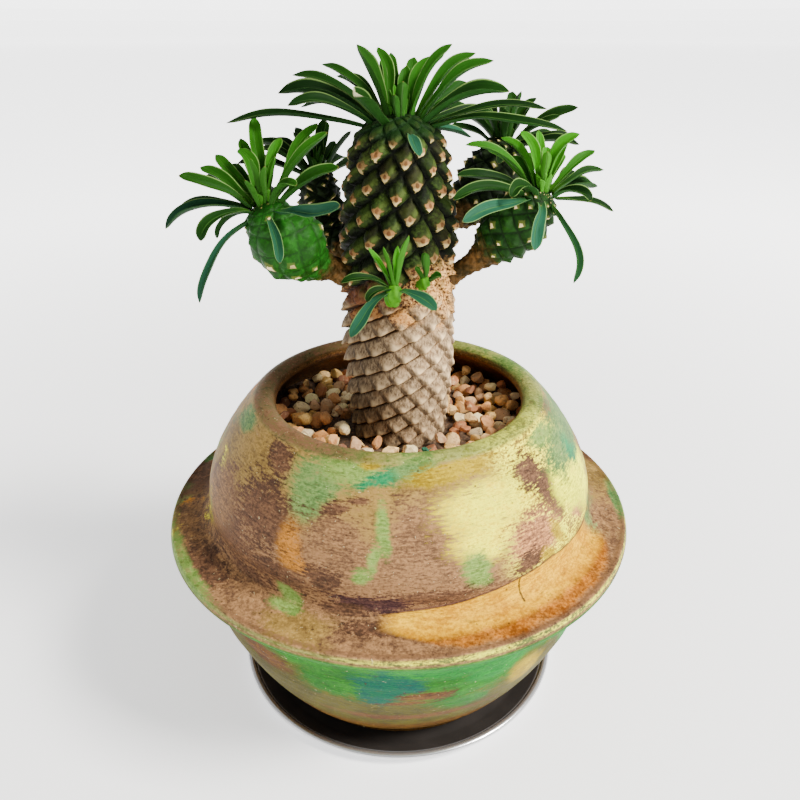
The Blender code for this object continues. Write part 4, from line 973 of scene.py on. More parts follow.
def stem_finish(settings):
    """Corky grey-tan plates low down, a rough orange-brown belt, green tubercles with cream scars."""
    bark = Finish("scaly_stem", specular=0.08)
    place = bark.where()
    x, _, z = bark.parts(place)
    side, rise, edge, chances, u, v = scale_parts(bark, STEM_STEPS)
    clouds = bark.noise(place, 7.0, 4.0, 0.6)
    fibre = bark.noise(bark.stretch(place, (1.0, 1.0, 0.35)), 0.9, 4.0, 0.7)
    grain = bark.noise(place, 1.1, 3.0, 0.7)
    to_right = x.smooth(-18.0, 20.0)

    # Corky plates: streaked, with a painted highlight on each keel, painted shade in the hollow at each
    # plate's left, a tan lip above the long dark clefts that is partly the bark's own tan and partly painted
    # highlight, and painted light that makes them lighter towards the right
    cork = bark.mix(fibre.smooth(0.32, 0.68), "4E3E2E", settings.cork)
    cork = bark.mix(clouds.smooth(0.50, 0.70) * 0.5, cork, "77593A")
    # painted highlight: pale on the keel of each plate
    keel_highlight = (u - 0.42).absolute() * 2.4 + (v - 0.26).absolute() * 2.4 + (fibre - 0.5) * 0.8
    cork = bark.mix(keel_highlight.smooth(0.9, 0.1) * 0.6, cork, "D6B98C")
    # painted shade: dark in the hollow at the left of each plate
    hollow_shade = (u - 0.10).absolute() * 4.4 + (v - 0.36).absolute() * 1.7
    cork = bark.mix(hollow_shade.smooth(1.2, 0.3) * 0.7, cork, "35281C")
    long_edge = v.least(1.0 - v) + (fibre - 0.5) * 0.05
    short_edge = u.least(1.0 - u) + (fibre - 0.5) * 0.05
    # a tan lip, partly the bark's own colour and partly a painted highlight on the raised edge
    cork = bark.mix(v.smooth(0.26, 0.10) * 0.6, cork, "A07848")
    cork = bark.mix(long_edge.smooth(0.15, 0.05) * 0.97, cork, settings.cleft)
    cork = bark.mix(short_edge.smooth(0.06, 0.01) * 0.4, cork, settings.cleft)
    # painted light: the plates grow lighter towards the right, where the light falls
    cork = bark.shade(cork, 0.44 + chances[0] * 0.30 + to_right * 1.05)

    # The rough belt under the green, with a painted highlight on its right and painted shade on its left
    belt = bark.mix(chances[1].smooth(0.2, 0.8), "7A5030", "C08444")
    belt = bark.mix((grain + clouds * 0.5).smooth(0.74, 0.62), belt, "3A2117")
    belt = bark.mix(edge.smooth(0.34, 0.05) * 0.9, belt, "25140D")
    # painted highlight: bright orange on the right, where the light falls
    belt = bark.mix(grain.smooth(0.42, 0.58) * to_right, belt, "F4BC70")
    # painted shade: dark red-brown on the left, away from the light
    belt = bark.mix((1.0 - to_right) * 0.72, belt, "3E1E14")

    # Tubercles: dark green, an olive ridge to the upper right that is partly their own colour and partly
    # painted highlight, painted shadow below each scar and painted shade in the gaps between them
    green = bark.mix(clouds.smooth(0.35, 0.65), "0C1206", settings.green)
    green = bark.mix(chances[2].smooth(0.5, 1.0) * 0.5, green, "2E2614")
    green = bark.mix(chances[0].smooth(0.4, 1.0) * grain.smooth(0.4, 0.6) * 0.5, green, "3E5420")
    # partly painted highlight: the olive ridge lies on the upper right, where the light falls
    ridge = (v - 0.46 + (grain - 0.5) * 0.2).absolute().smooth(0.20, 0.02) * u.smooth(0.4, 0.6)
    green = bark.mix(ridge * 0.65, green, "4A5A24")
    # painted shadow: near black below each scar, under its overhang
    green = bark.mix((rise + 3.1 + (grain - 0.5)).smooth(0.5, -0.6), green, "050703")
    # painted shade: near black in the gaps between the tubercles
    seam = edge + (clouds - 0.5) * 0.5 + (grain - 0.5) * 0.5
    green = bark.mix(seam.smooth(0.48, 0.08) * 0.9, green, "060804")
    size = 0.80 + chances[0] * 0.45
    aside = (side + 0.7 - (chances[1] - 0.5) * 0.9) / size
    climb = (rise + 0.9) / size
    ragged = (grain - 0.5) * 1.1 + (clouds - 0.5) * 1.2
    rim = kite(aside - climb * 0.2, climb, 2.7, 1.6, 3.0) + ragged
    green = bark.mix(rim.smooth(1.15, 0.8) * 0.7, green, "3C3818")
    inner = kite(aside - climb * 0.2, climb, 2.35, 1.3, 2.6) + ragged
    scar = bark.mix((climb + ragged * 1.2).smooth(-1.5, -0.3), settings.scar, "9A6E42")
    scar = bark.mix((climb + ragged).smooth(0.2, 1.2), scar, "5A4C28")
    scar = bark.mix(chances[2].smooth(0.5, 1.0) * 0.55, scar, "75653C")
    # painted shade: scars darker on the left, away from the light
    scar = bark.mix((1.0 - to_right) * 0.45, scar, "5F4A2A")
    dot = (aside * aside + climb * climb + ragged).smooth(0.8, 0.2)
    scar = bark.mix(dot * 0.75, scar, "4A2A14")
    green = bark.mix(inner.smooth(1.06, 0.90) * z.smooth(*SCARS_END), green, scar)
    green = bark.mix(z.smooth(*TIP_TONES) * 0.8, green, "0E2A0A")

    height = z + (clouds - 0.5) * 16.0 + (chances[1] - 0.5) * 8.0
    colour = bark.mix(height.smooth(*BELT_TONES), cork, belt)
    green_from = height - to_right * 7.0
    above = green_from.smooth(*GREEN_TONES)
    colour = bark.mix(above, colour, green)
    colour = bark.mix(z.smooth(*SOIL_STAIN) * 0.5, colour, "3A2C20")
    colour = bark.shade(colour, 0.74 + grain * 0.52)
    roughness = 0.72 - 0.16 * above + (grain - 0.5) * 0.2
    bark.paint(colour, roughness, None, bark.bump(fibre * 0.8 + grain * 0.8, 0.36))
    return bark


def branch_finish(name):
    """Smooth waxy green with small cream scars, browner at the foot."""
    fresh, brown = BRANCH_TONES[name]
    skin = Finish("branch_skin_" + name, specular=0.07)
    place = skin.where()
    side, rise, edge, chances, _, _ = scale_parts(skin, BRANCH_STEPS)
    clouds = skin.noise(place, 6.0, 3.0)
    grain = skin.noise(place, 0.8, 3.0, 0.65)
    streaks = skin.noise(place, 2.2, 2.0, 0.5, 1.0)
    dark = Vector(srgb("0A1006")[:3]).lerp(Vector(srgb("113609")[:3]), fresh)
    light = Vector(srgb("161E0C")[:3]).lerp(Vector(srgb("184A10")[:3]), fresh)
    green = skin.mix((clouds + streaks * 0.5).smooth(0.55, 0.95), (*dark, 1.0), (*light, 1.0))
    # painted shade: near black in the grooves between scales, stronger on the duller branches
    green = skin.mix(edge.smooth(0.26, 0.0) * (0.75 - 0.35 * fresh), green, "050A03")
    green = skin.mix(streaks.smooth(0.52, 0.72) * 0.22 * fresh, green, "2A701C")
    kept = chances[1].smooth(0.2 + 0.3 * fresh, 0.28 + 0.3 * fresh)
    size = 0.8 + chances[0] * 0.4
    rim = kite(side / size, rise / size, 1.7, 1.3, 2.0) + (grain - 0.5) * 0.5
    green = skin.mix(rim.smooth(1.2, 0.8) * 0.5 * kept, green, "6C7030")
    inner = kite((side - 0.1) / size, (rise + 0.3) / size, 0.95, 0.6, 1.5) + (grain - 0.5) * 0.4
    scar = skin.mix(chances[2], "E6D09A", "B89A62")
    green = skin.mix(inner.smooth(1.1, 0.85) * kept, green, scar)
    foot = skin.attribute("along", 2) + (clouds - 0.5) * 0.3
    reach = 0.06 + 0.34 * brown
    tan = skin.mix((clouds + streaks * 0.5).smooth(0.5, 0.9), "6A4C28", "30260F")
    colour = skin.mix(foot.smooth(reach + 0.1, reach - 0.06), green, tan)
    colour = skin.shade(colour, 0.84 + grain * 0.32)
    roughness = 0.40 + grain * 0.15 + (1.0 - fresh) * 0.2
    skin.paint(colour, roughness, None, skin.bump(grain + clouds * 0.5 + streaks, 0.14))
    return skin


def stem_profile(climbed):
    """Radius and height of the stem's girth, and the share of a full cell, at a length climbed."""
    girths = [row[:2] for row in STEM_FORM]
    if climbed <= DOME_FROM:
        return curve_value(girths, climbed), climbed, 1.0
    wide = curve_value(girths, DOME_FROM)
    share = min((climbed - DOME_FROM) / DOME_LENGTH, DOME_END)
    angle = share * math.pi / 2
    return wide * math.cos(angle), DOME_FROM + DOME_RISE * math.sin(angle), max(math.cos(angle), 0.2)


def stem_climbs():
    """Length climbed at each corner number: scales stand closer low down and on the growing tip."""
    climbs = [STEM_START]
    while climbs[-1] < DOME_FROM + DOME_LENGTH * DOME_END:
        change = step_between(RISE_CHANGE, climbs[-1])
        climbs.append(climbs[-1] + (LOW_RISE + (HIGH_RISE - LOW_RISE) * change) * stem_profile(climbs[-1])[2])
    return climbs


def make_stem(settings):
    climbs = stem_climbs()
    reliefs = [row[::2] for row in STEM_FORM]

    def place(turn, number, u, v, cell):
        climbed = between(climbs, number)
        girth, height, share = stem_profile(climbed)
        pointed = step_between(POINTED_FROM, height)
        chance = random.Random(cell)
        size = chance.uniform(0.8, 1.0)
        lean = chance.uniform(-0.07, 0.07)
        across_row = min(v / 0.18, (1 - v) / 0.82) ** 0.75
        along_row = min(u / (0.26 + lean), (1 - u) / (0.74 - lean)) ** 0.8
        plate = across_row * (0.60 + 0.40 * along_row)
        tubercle = (pillow(u, 0.36 + lean) * pillow(v, 0.40)) ** 0.7
        out = (plate + (tubercle - plate) * pointed) * size
        drop = (1.2 - 0.3 * pointed) * out ** 2 * share
        shift = 0.035 * out ** 2 * (1 - pointed)
        knock = Vector((math.cos(turn), math.sin(turn), 0.0)) * 22.0 + UP * height
        waste = 0.35 * noise.noise(knock * 0.11) + 0.35 * noise.noise(knock * 0.42) * (0.4 + 0.6 * pointed)
        waste += 0.8 * noise.noise(knock * 0.8) * pointed
        belt = step_between(BELT_FROM, height) * step_between(BELT_TO, height)
        waste += 1.1 * noise.noise(knock * 0.5) * belt
        relief = curve_value(reliefs, height) * share
        groove = max(0.0, 1.0 - min(v, 1.0 - v) / 0.12) ** 2 * (1 - pointed)
        radius = girth - relief * (2.1 - 0.5 * pointed) * (1 - out) - 2.0 * groove + waste * share
        if height < STEM_START:
            radius -= (STEM_START - height) * 0.25
        tip = 1.0 - share
        rise = relief * 0.8 * out * tip
        return Vector((radius * math.cos(turn + shift), radius * math.sin(turn + shift),
                       height - drop * (1 - tip) + rise)) * MM

    first = -int((STEM_START - STEM_FOOT) / LOW_RISE)
    bm = scaly_skin(STEM_SPIRALS, first, len(climbs) - 1, STEM_FINE, place)
    piece("scaly_stem", bm, stem_finish(settings), ("stem",))


def make_branch(name):
    """A short swollen branch whose foot runs on into the stem."""
    points = [Vector(point) for point, girth in BRANCHES[name]]
    girth_values = [girth for point, girth in BRANCHES[name]]
    way = ((points[1] - points[0]) * 1.5 - (points[2] - points[0]) * 0.25).normalized()
    points.insert(0, points[0] - way * BRANCH_DEPTH)
    girth_values.insert(0, girth_values[0] * 1.25)
    tip_way = (points[-1] - points[-2]).normalized()
    tip_girth = girth_values[-1]
    lengths = [0.0]
    for start, end in zip(points, points[1:]):
        lengths.append(lengths[-1] + (end - start).length)
    total = lengths[-1]
    girths = list(zip(lengths, girth_values))
    axes = [[(length, point[axis]) for length, point in zip(lengths, points)] for axis in range(3)]

    def spine(length):
        if length > total:
            return points[-1] + tip_way * (length - total)
        return Vector([curve_value(knots, length) for knots in axes])

    def frame_at(length):
        along = (spine(length + SPINE_STEP) - spine(max(length - SPINE_STEP, 0.0))).normalized()
        across = along.cross(UP).normalized()
        return spine(length), across, along.cross(across)

    def girth_at(climbed):
        """Girth, and the length along the spine, at a length climbed over the skin."""
        if climbed <= total:
            return curve_value(girths, climbed), climbed
        angle = min((climbed - total) / (tip_girth * BRANCH_DOME), DOME_END) * math.pi / 2
        return tip_girth * math.cos(angle), total + BRANCH_TIP_RISE * math.sin(angle)

    heights = [0.0]
    while heights[-1] < total + tip_girth * BRANCH_DOME * DOME_END:
        girth = girth_at(heights[-1])[0]
        least = LEAST_GIRTH if heights[-1] < total else 1.5
        heights.append(heights[-1] + BRANCH_RISE * max(girth, least))
    frames = {}

    def place(turn, number, u, v, cell):
        girth, length = girth_at(between(heights, number))
        key = round(number * BRANCH_FINE)
        if key not in frames:
            frames[key] = frame_at(length)
        centre, across, other = frames[key]
        relief = BRANCH_RELIEFS[name] * min(1.0, girth / BRANCH_FULL_GIRTH) ** 1.5
        chance = random.Random(cell + 900)
        out = apex_height(u, v, (0.5 + chance.uniform(-0.06, 0.06), 0.46), 0.9) * chance.uniform(0.8, 1.0)
        nub = max(0.0, 1.0 - math.hypot((u - 0.5) * 5.0, (v - 0.47) * 5.0)) * 0.45
        return (centre + (across * math.cos(turn) + other * math.sin(turn))
                * (girth - relief * (1 - out) + nub * relief)) * MM

    bm = scaly_skin(BRANCH_SPIRALS, 0, len(heights) - 1, BRANCH_FINE, place)
    along = bm.verts.layers.float.new("along")
    spread = points[-1] - points[1]
    for vertex in bm.verts:
        share = (vertex.co / MM - points[1]).dot(spread) / spread.length_squared
        vertex[along] = min(max(share, 0.0), 1.0)
    piece("fine_branch_" + name, bm, branch_finish(name), ("branch_" + name,))


# Leaves

def leaf_finish(name, settings):
    """Satin green, darker above with a pale midrib and edge, bluer below."""
    leaf = Finish(name, specular=0.04)
    place = leaf.where()
    across, along, upper = leaf.parts(leaf.attribute("spot"))
    tint, blue, young = leaf.parts(leaf.attribute("cast"))
    dark, pale_end, chance = leaf.parts(leaf.attribute("painted_shade_and_wear"))
    clouds = leaf.noise(place, 9.0, 3.0)
    veins = leaf.noise(leaf.vector(across * 9.0, along * 5.0, chance * 40.0), 1.0, 3.0)
    wide = across.absolute()
    green = leaf.mix(tint + (clouds - 0.5) * 0.6, settings.dark, settings.green)
    green = leaf.mix(young, green, settings.young)
    green = leaf.mix(blue, green, settings.blue)
    green = leaf.shade(green, 0.60 + veins * 0.85)
    base = along.smooth(0.34, 0.02)
    green = leaf.mix(base * 0.45, green, "3A6414")
    green = leaf.mix(wide.smooth(0.11, 0.03) * along.smooth(1.0, 0.7) * 0.3, green, "4E8030")
    green = leaf.mix(wide.smooth(0.84, 0.96) * 0.6, green, "86A85C")
    below = leaf.mix(clouds, settings.under, "1E4018")
    below = leaf.mix(blue * 0.5, below, "284C38")
    below = leaf.mix(young * 0.8, below, "3C7C18")
    below = leaf.mix(wide.smooth(0.14, 0.04) * 0.4, below, "5A7444")
    below = leaf.shade(below, 0.84 + veins * 0.3)
    colour = leaf.mix(upper.smooth(0.10, -0.10), green, below)
    tip = along.smooth(0.975, 0.998)
    colour = leaf.mix(tip * 0.7, colour, "6A5A2C")
    colour = leaf.mix(pale_end * along.smooth(0.90, 0.97), colour, "C8C39A")
    # painted shade: each leaf's share of shade darkens it, a share below zero lightens it as painted light
    colour = leaf.shade(colour, 1.0 - dark * 0.72)
    relief = veins * 0.5 - wide.smooth(0.10, 0.0) * 0.8
    leaf.paint(colour, 0.42 + clouds * 0.2, None, leaf.bump(relief, 0.16))
    return leaf


def bezier(points, t):
    """Place and direction on a cubic curve."""
    a, b, c, d = points
    s = 1 - t
    place = a * s ** 3 + b * 3 * s * s * t + c * 3 * s * t * t + d * t ** 3
    way = (b - a) * 3 * s * s + (c - b) * 6 * s * t + (d - c) * 3 * t * t
    return place, way.normalized()


def leaf_line(head, leaf, core, swing, lift):
    """Middle line of a leaf: it sets out steeper than its chord and ends lower."""
    turn, out, up, _, bow, _ = leaf
    angle = math.radians(turn + swing)
    radial = Vector((math.cos(angle), math.sin(angle), 0.0))
    tip = head + radial * out + UP * (up + lift)
    climb = math.atan2(up + lift, out)
    root = (head + radial * (core[0] * ROOT_SPREAD * math.cos(climb))
            + UP * (core[2] * ROOT_CLIMB * math.sin(climb)))
    chord = tip - root
    climb = math.atan2(chord.z, chord.dot(radial))
    length = chord.length
    start = climb + math.radians(bow)
    end = climb - math.radians(bow) * TIP_BOW
    first = root + (radial * math.cos(start) + UP * math.sin(start)) * length * ROOT_HANDLE
    second = tip - (radial * math.cos(end) + UP * math.sin(end)) * length * TIP_HANDLE
    return (root, first, second, tip), radial


def leaf_frame(line, radial, face, t):
    """Place, side and face directions on a leaf, with the face turned towards the light."""
    place, way = bezier(line, t)
    side = Vector((-radial.y, radial.x, 0.0))
    normal = way.cross(side)
    wanted = LIGHT_FROM - way * LIGHT_FROM.dot(way)
    angle = math.atan2(way.dot(normal.cross(wanted)), normal.dot(wanted))
    limit = math.radians(face) * step_between((0.0, FULL_TURN_AT), t)
    normal = Matrix.Rotation(max(-limit, min(limit, angle)), 3, way) @ normal
    return place, way.cross(normal).normalized(), normal.normalized()


def all_leaves(head_name):
    """The listed leaves of a head, and those of its far side in three storeys."""
    _, leaves, (count, first, last, reach) = HEADS[head_name]
    chance = random.Random(LEAF_SEED + len(leaves))
    rows = list(leaves)
    for index in range(count):
        share = (index * GOLDEN_SHARE + 0.3) % 1.0
        out, up = STOREYS[index % len(STOREYS)]
        out += chance.uniform(-STOREY_SPREAD, STOREY_SPREAD)
        up += chance.uniform(-STOREY_SPREAD, STOREY_SPREAD)
        width = FAR_LEAF_WIDTH + chance.uniform(-0.5, 0.7)
        bow = FAR_LEAF_BOW + chance.uniform(-6, 10)
        rows.append((first + (last - first) * share, reach * out, reach * up, width, bow, FAR_LEAF_FACE))
    return rows


def standing_leaves(node_name, head, leaves, core):
    """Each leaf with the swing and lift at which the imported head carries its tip."""
    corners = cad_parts[node_name].data.vertices
    tree = KDTree(len(corners))
    for index, corner in enumerate(corners):
        tree.insert(corner.co, index)
    tree.balance()
    found = []
    for leaf in leaves:
        for swing, lift in [(swing, lift) for lift in LIFTS for swing in SWINGS]:
            line, radial = leaf_line(head, leaf, core, swing, lift)
            if tree.find(line[3] * MM)[2] < TIP_MATCH * MM:
                found.append((leaf, line, radial))
                break
    return found


def grow_leaf(bm, layers, leaf, line, radial, cast, painted_shade_and_wear, blunt, chance):
    """One leaf: a grid wound into a flat closed tube, channelled above and pointed at its tip."""
    spot_layer, cast_layer, painted_shade_and_wear_layer = layers
    width, face = leaf[3], leaf[5]
    made = bmesh.ops.create_grid(bm, x_segments=LEAF_ALONG, y_segments=LEAF_ROUND, size=1.0)["verts"]
    channel = CHANNEL * chance.uniform(1.1, 2.3)
    phase = chance.uniform(0, math.tau)
    wave = chance.uniform(0.05, 0.16)
    sway = chance.uniform(-0.035, 0.035) * (line[3] - line[0]).length
    rounding = LEAF_ROUNDING - 0.03 + 0.05 * blunt
    frames = {}
    for vertex in made:
        step = round((vertex.co.x + 1) / 2 * LEAF_ALONG)
        angle = math.tau * round((vertex.co.y + 1) / 2 * LEAF_ROUND) / LEAF_ROUND
        if step not in frames:
            t = 1.0 - (1.0 - step / LEAF_ALONG) ** 1.5
            frames[step] = (t, *leaf_frame(line, radial, face, t))
        t, place, side, normal = frames[step]
        across, upper = math.cos(angle), math.sin(angle)
        share = curve_value(LEAF_WIDTH_SHARE, t) * (1 + 0.5 * blunt * step_between((0.7, 1.0), t))
        if t > rounding:
            share *= math.sqrt(max(0.0, 1 - ((t - rounding) / (1 - rounding)) ** 2))
        thin = LEAF_THICK / 2 * min(1.0, share * 2.2)
        if step == 0:
            share = thin = 0.0
        half = width / 2 * share
        fade = 4 * t * (1 - t)
        place = place + side * sway * math.sin(t * math.tau) * fade
        rise = half * channel * (abs(across) ** 1.15 * (1 - 0.5 * step_between((0.7, 1.0), t)) - 0.25)
        rise += half * wave * math.sin(9.0 * t + phase + across * 1.2) * across * across * fade
        rise += thin * upper * (1 - LEAF_LENS * across ** 2)
        vertex.co = (place + side * half * across + normal * rise) * MM
        vertex[spot_layer] = (across, t, upper)
        vertex[cast_layer] = cast
        vertex[painted_shade_and_wear_layer] = painted_shade_and_wear
    bmesh.ops.remove_doubles(bm, verts=made, dist=1e-6)


def heart_leaves(head, core, radius, count, reach, chance):
    """Small young leaves that stand close in the middle of a head."""
    for index in range(count):
        share = (index + 0.5) / count
        turn = math.degrees(index * GOLDEN_TURN)
        out = radius * math.sqrt(share) + 0.8
        up = reach * (1.0 - 0.45 * share) * chance.uniform(0.85, 1.1)
        leaf = (turn, out, up, 2.2 + 1.2 * share, 5, 10)
        line, radial = leaf_line(head, leaf, core, 0.0, 0.0)
        yield leaf, line, radial


def make_head(node_name, head, leaves, core, finish, hearted=True):
    """The leaves of one head."""
    bm = bmesh.new()
    layers = [bm.verts.layers.float_vector.new(name) for name in ("spot", "cast", "painted_shade_and_wear")]
    # dark is the head's painted shade, painted light where it is below zero
    bright, blunt, dark = HEAD_TONES[node_name]
    chance = random.Random(len(leaves) * 7 + len(node_name))
    blues = BLUE_LEAVES.get(node_name, {})
    for leaf, line, radial in standing_leaves(node_name, head, leaves, core):
        turn, out, up = leaf[:3]
        steep = up / max(math.hypot(out, up), 1e-6)
        blue = blues.get((turn, out), 0.0)
        young = min(1.0, max(0.0, steep * 1.25 - 0.35)) * bright * (1.0 - blue)
        cast = (chance.uniform(0.1, 0.9), blue, young * chance.uniform(0.75, 1.0))
        pale = 1.0 if (node_name, turn, out) == PALE_LEAF else 0.0
        shadow = dark - SIDE_SHADOW.get(node_name, SMALL_SHADOW) * math.cos(math.radians(turn))
        # each leaf carries its painted shade, its worn pale end and a chance
        painted_shade_and_wear = (shadow * chance.uniform(0.85, 1.1), pale, chance.random())
        own_blunt = 1.0 if pale else blunt * chance.uniform(0.6, 1.2)
        grow_leaf(bm, layers, leaf, line, radial, cast, painted_shade_and_wear, own_blunt, chance)
    if hearted:
        count, reach = CROWN_HEART if node_name == "crown" else BRANCH_HEART
        for leaf, line, radial in heart_leaves(head, core, core[1] * 0.8, count, reach, chance):
            cast = (chance.uniform(0.4, 0.9), 0.0, 0.3 + 0.6 * bright)
            grow_leaf(bm, layers, leaf, line, radial, cast, (dark, 0.0, chance.random()), 0.0, chance)
    piece("fine_" + node_name, bm, finish, (node_name,))


def make_heads(settings):
    finish = leaf_finish("strap_leaf", settings)
    for node_name, (head, *_) in HEADS.items():
        core = CROWN_CORE if node_name == "crown" else BRANCH_CORE
        make_head(node_name, head, all_leaves(node_name), core, finish)


def make_shoots(settings):
    """Two small fresh shoots on the stem's front: a short stem that turns upright, and its leaves."""
    finish = leaf_finish("young_leaf", settings)
    skin = Finish("shoot_skin", specular=0.05)
    place = skin.where()
    green = skin.mix(skin.noise(place, 1.6), "235A0E", "4C8A18")
    skin.paint(green, 0.45 + 0.1 * skin.noise(place, 0.8), None, skin.bump(skin.noise(place, 0.9), 0.12))
    for name, (foot, head, foot_radius, head_radius) in SHOOTS.items():
        core = (head_radius, head_radius, SHOOT_HEART)
        make_head(name, head - UP * SHOOT_HEART / 2, SHOOT_LEAVES[name], core, finish, False)
        way = Vector((foot.x, foot.y, 0.0)).normalized()
        line = (foot - way * SHOOT_DEPTH, foot + way * SHOOT_BEND,
                foot + way * SHOOT_BEND * 2 + UP * 1.5, head + UP)
        bm = bmesh.new()
        made = bmesh.ops.create_uvsphere(bm, u_segments=SHOOT_SIDES, v_segments=SHOOT_RINGS,
                                         radius=1.0)["verts"]
        for vertex in made:
            t = (vertex.co.z + 1) / 2
            spot, along = bezier(line, t)
            across = along.cross(Vector((way.y, -way.x, 0.0))).normalized()
            other = along.cross(across)
            turn = math.atan2(vertex.co.y, vertex.co.x)
            wide = foot_radius + (head_radius - foot_radius) * t
            wide *= 1.0 + 0.13 * math.sin(turn * 5 + t * 14)
            ends = math.sqrt(max(0.0, 1.0 - abs(2 * t - 1.0) ** 5))
            vertex.co = (spot + (across * math.cos(turn) + other * math.sin(turn)) * wide * ends) * MM
        piece("shoot_" + name, bm, skin)


# Stage

def make_stage(settings):
    """A pale floor, an even pale sky, a large soft light from the upper right and the camera."""
    floor = Finish("pale_floor", roughness=0.9)
    place = floor.where()
    tone = floor.noise(place, 400.0, 1.0)
    floor.paint(floor.mix(tone, settings.floor, "FAFAFA"))
    out = floor.vectors("LENGTH", place)
    floor.feed(floor.shader.inputs["Emission Color"], floor.mix(out.smooth(*FLOOR_GLOW), NEAR_GLOW, WHITE))
    floor.shader.inputs["Emission Strength"].default_value = settings.backdrop
    bm = lathe(rounded(FLOOR_OUTLINE, OUTLINE_STEPS, False), False)
    mesh = bpy.data.meshes.new("floor")
    bm.to_mesh(mesh)
    bm.free()
    mesh.materials.append(floor.material)
    plane = bpy.data.objects.new("floor", mesh)
    bpy.context.scene.collection.objects.link(plane)

    world = bpy.data.worlds.new("studio")
    world.use_nodes = True
    back = world.node_tree.nodes["Background"]
    back.inputs["Color"].default_value = WHITE
    back.inputs["Strength"].default_value = settings.sky
    bpy.context.scene.world = world

    for name, power, size, place in (("key", settings.key, KEY_SIZE, KEY_PLACE),
                                     ("fill", settings.fill, FILL_SIZE, FILL_PLACE)):
        lamp = bpy.data.lights.new(name, "AREA")
        lamp.energy = power
        lamp.size = size
        lamp.color = LAMP_TONE
        light = bpy.data.objects.new(name, lamp)
        light.location = place
        light.rotation_euler = (LAMP_AIM - place).to_track_quat("-Z", "Y").to_euler()
        bpy.context.scene.collection.objects.link(light)

    lens = bpy.data.cameras.new("camera")
    lens.lens = LENS
    lens.sensor_width = SENSOR
    lens.shift_x = LENS_SHIFT
    lens.clip_start, lens.clip_end = CLIPPED
    camera = bpy.data.objects.new("camera", lens)
    camera.location = CAMERA_PLACE
    camera.rotation_euler = (math.radians(CAMERA_TILT), 0.0, 0.0)
    bpy.context.scene.collection.objects.link(camera)
    bpy.context.scene.camera = camera


# Settings that a user would change

def tone_property(name, description, code):
    return FloatVectorProperty(name=name, description=description, default=srgb(code)[:3], size=3,
                               min=0.0, max=1.0, subtype="COLOR")


class EuphorbiaSaucer(bpy.types.PropertyGroup):
    floor_tone: tone_property("Floor", "Colour of the dark steel floor", "201B17")
    rim_tone: tone_property("Rim", "Colour of the polished rim", "E2E2E4")


class EuphorbiaPot(bpy.types.PropertyGroup):
    olive: tone_property("Olive", "Ground colour of the glaze", GLAZES["olive"][1])
    amber: tone_property("Amber", "Colour pooled on the flange", GLAZES["amber"][1])
    gloss: FloatProperty(name="Roughness", description="Roughness of the satin glaze", default=0.50,
                         min=0.1, max=0.9, subtype="FACTOR")
    ripple: FloatProperty(name="Ripple", description="Depth of the throwing rings", default=0.10 * MM,
                          min=0.0, max=1.0 * MM, unit="LENGTH", precision=5)


class EuphorbiaGravel(bpy.types.PropertyGroup):
    smallest: FloatProperty(name="Smallest", description="Length of the smallest stones", default=5.8 * MM,
                            min=3.0 * MM, max=8.0 * MM, unit="LENGTH", precision=4)
    largest: FloatProperty(name="Largest", description="Length of the largest stones", default=9.4 * MM,
                           min=5.0 * MM, max=14.0 * MM, unit="LENGTH", precision=4)
    shuffle: IntProperty(name="Shuffle", description="Lays the stones another way", default=0, min=0)


class EuphorbiaStem(bpy.types.PropertyGroup):
    cork: tone_property("Cork", "Colour of the corky plates low on the stem", "9C8464")
    cleft: tone_property("Clefts", "Colour in the clefts between plates", "38220F")
    green: tone_property("Tubercles", "Green of the tubercles high on the stem", "24330F")
    scar: tone_property("Scars", "Colour of the leaf scars", "F6DC96")


class EuphorbiaLeaves(bpy.types.PropertyGroup):
    dark: tone_property("Dark", "Darkest green of the leaves", "081B06")
    green: tone_property("Green", "Lighter green of the leaves", "12330B")
    young: tone_property("Young", "Green of the young inner leaves", "3A8814")
    blue: tone_property("Blue-green", "Green of the leaves with a blue bloom", "1E4834")
    under: tone_property("Underside", "Colour below the leaves", "12300F")


class EuphorbiaStage(bpy.types.PropertyGroup):
    floor: tone_property("Floor", "Colour of the floor", "F4F4F4")
    backdrop: FloatProperty(name="Backdrop", description="How strongly the floor is lit far out", default=3.0,
                            min=0.0, max=10.0)
    sky: FloatProperty(name="Sky", description="Strength of the even light", default=0.55, min=0.0, max=5.0)
    key: FloatProperty(name="Key light", description="Power of the large light on the right", default=118.0,
                       min=0.0, unit="POWER")
    fill: FloatProperty(name="Fill light", description="Power of the light on the left", default=1.0,
                        min=0.0, unit="POWER")


class EUPHORBIA_OT_saucer(bpy.types.Operator):
    """Make the steel saucer"""
    bl_idname = "euphorbia.saucer"
    bl_label = "Saucer"

    def execute(self, context):
        make_saucer(context.scene.euphorbia_saucer)
        return {"FINISHED"}


class EUPHORBIA_OT_pot(bpy.types.Operator):
    """Make the glazed pot"""
    bl_idname = "euphorbia.pot"
    bl_label = "Pot"

    def execute(self, context):
        make_pot(context.scene.euphorbia_pot)
        return {"FINISHED"}


class EUPHORBIA_OT_filling(bpy.types.Operator):
    """Give the soil its finish and lay the gravel"""
    bl_idname = "euphorbia.filling"
    bl_label = "Soil and gravel"

    def execute(self, context):
        make_soil()
        make_gravel(context.scene.euphorbia_gravel)
        return {"FINISHED"}


class EUPHORBIA_OT_stem(bpy.types.Operator):
    """Make the scaly stem"""
    bl_idname = "euphorbia.stem"
    bl_label = "Stem"

    def execute(self, context):
        make_stem(context.scene.euphorbia_stem)
        return {"FINISHED"}


class EUPHORBIA_OT_branches(bpy.types.Operator):
    """Make the four side branches"""
    bl_idname = "euphorbia.branches"
    bl_label = "Branches"

    def execute(self, context):
        for name in BRANCHES:
            make_branch(name)
        return {"FINISHED"}


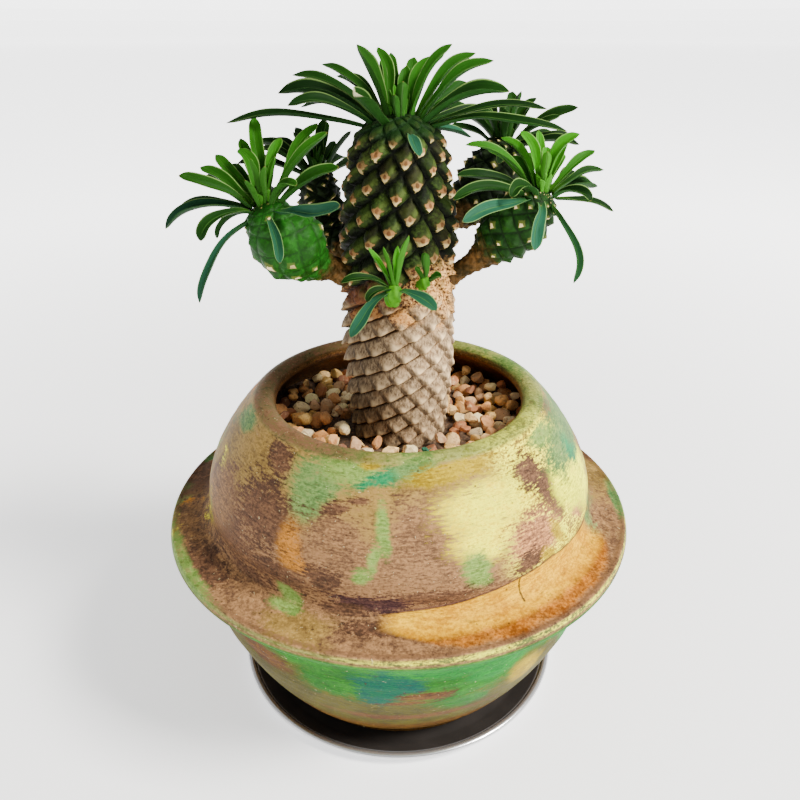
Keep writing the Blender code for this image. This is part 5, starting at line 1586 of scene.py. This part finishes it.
class EUPHORBIA_OT_heads(bpy.types.Operator):
    """Grow the leaves of the crown and of the branches"""
    bl_idname = "euphorbia.heads"
    bl_label = "Leaf heads"

    def execute(self, context):
        make_heads(context.scene.euphorbia_leaves)
        return {"FINISHED"}


class EUPHORBIA_OT_shoots(bpy.types.Operator):
    """Grow the two small shoots on the stem's front"""
    bl_idname = "euphorbia.shoots"
    bl_label = "Shoots"

    def execute(self, context):
        make_shoots(context.scene.euphorbia_leaves)
        return {"FINISHED"}


class EUPHORBIA_OT_stage(bpy.types.Operator):
    """Set the floor, the lights and the camera"""
    bl_idname = "euphorbia.stage"
    bl_label = "Stage"

    def execute(self, context):
        make_stage(context.scene.euphorbia_stage)
        return {"FINISHED"}


class EUPHORBIA_PT_panel(bpy.types.Panel):
    bl_label = "Potted euphorbia"
    bl_idname = "EUPHORBIA_PT_panel"
    bl_space_type = "VIEW_3D"
    bl_region_type = "UI"
    bl_category = "Euphorbia"

    def draw(self, context):
        for name in SETTINGS:
            group = getattr(context.scene, name)
            box = self.layout.box()
            for key in group.__annotations__:
                box.prop(group, key)
        for operator in OPERATORS:
            self.layout.operator(operator.bl_idname)


SETTINGS = {
    "euphorbia_saucer": EuphorbiaSaucer, "euphorbia_pot": EuphorbiaPot, "euphorbia_gravel": EuphorbiaGravel,
    "euphorbia_stem": EuphorbiaStem, "euphorbia_leaves": EuphorbiaLeaves, "euphorbia_stage": EuphorbiaStage,
}
OPERATORS = (EUPHORBIA_OT_saucer, EUPHORBIA_OT_pot, EUPHORBIA_OT_filling, EUPHORBIA_OT_stem,
             EUPHORBIA_OT_branches, EUPHORBIA_OT_heads, EUPHORBIA_OT_shoots, EUPHORBIA_OT_stage)


def register():
    for group in SETTINGS.values():
        bpy.utils.register_class(group)
    for operator in OPERATORS:
        bpy.utils.register_class(operator)
    bpy.utils.register_class(EUPHORBIA_PT_panel)
    for name, group in SETTINGS.items():
        setattr(bpy.types.Scene, name, PointerProperty(type=group))


def unregister():
    for name in SETTINGS:
        delattr(bpy.types.Scene, name)
    bpy.utils.unregister_class(EUPHORBIA_PT_panel)
    for operator in reversed(OPERATORS):
        bpy.utils.unregister_class(operator)
    for group in reversed(list(SETTINGS.values())):
        bpy.utils.unregister_class(group)


def main():
    register()
    bpy.ops.euphorbia.saucer()
    bpy.ops.euphorbia.pot()
    bpy.ops.euphorbia.filling()
    bpy.ops.euphorbia.stem()
    bpy.ops.euphorbia.branches()
    bpy.ops.euphorbia.heads()
    bpy.ops.euphorbia.shoots()
    bpy.ops.euphorbia.stage()


if __name__ == "__main__":
    main()
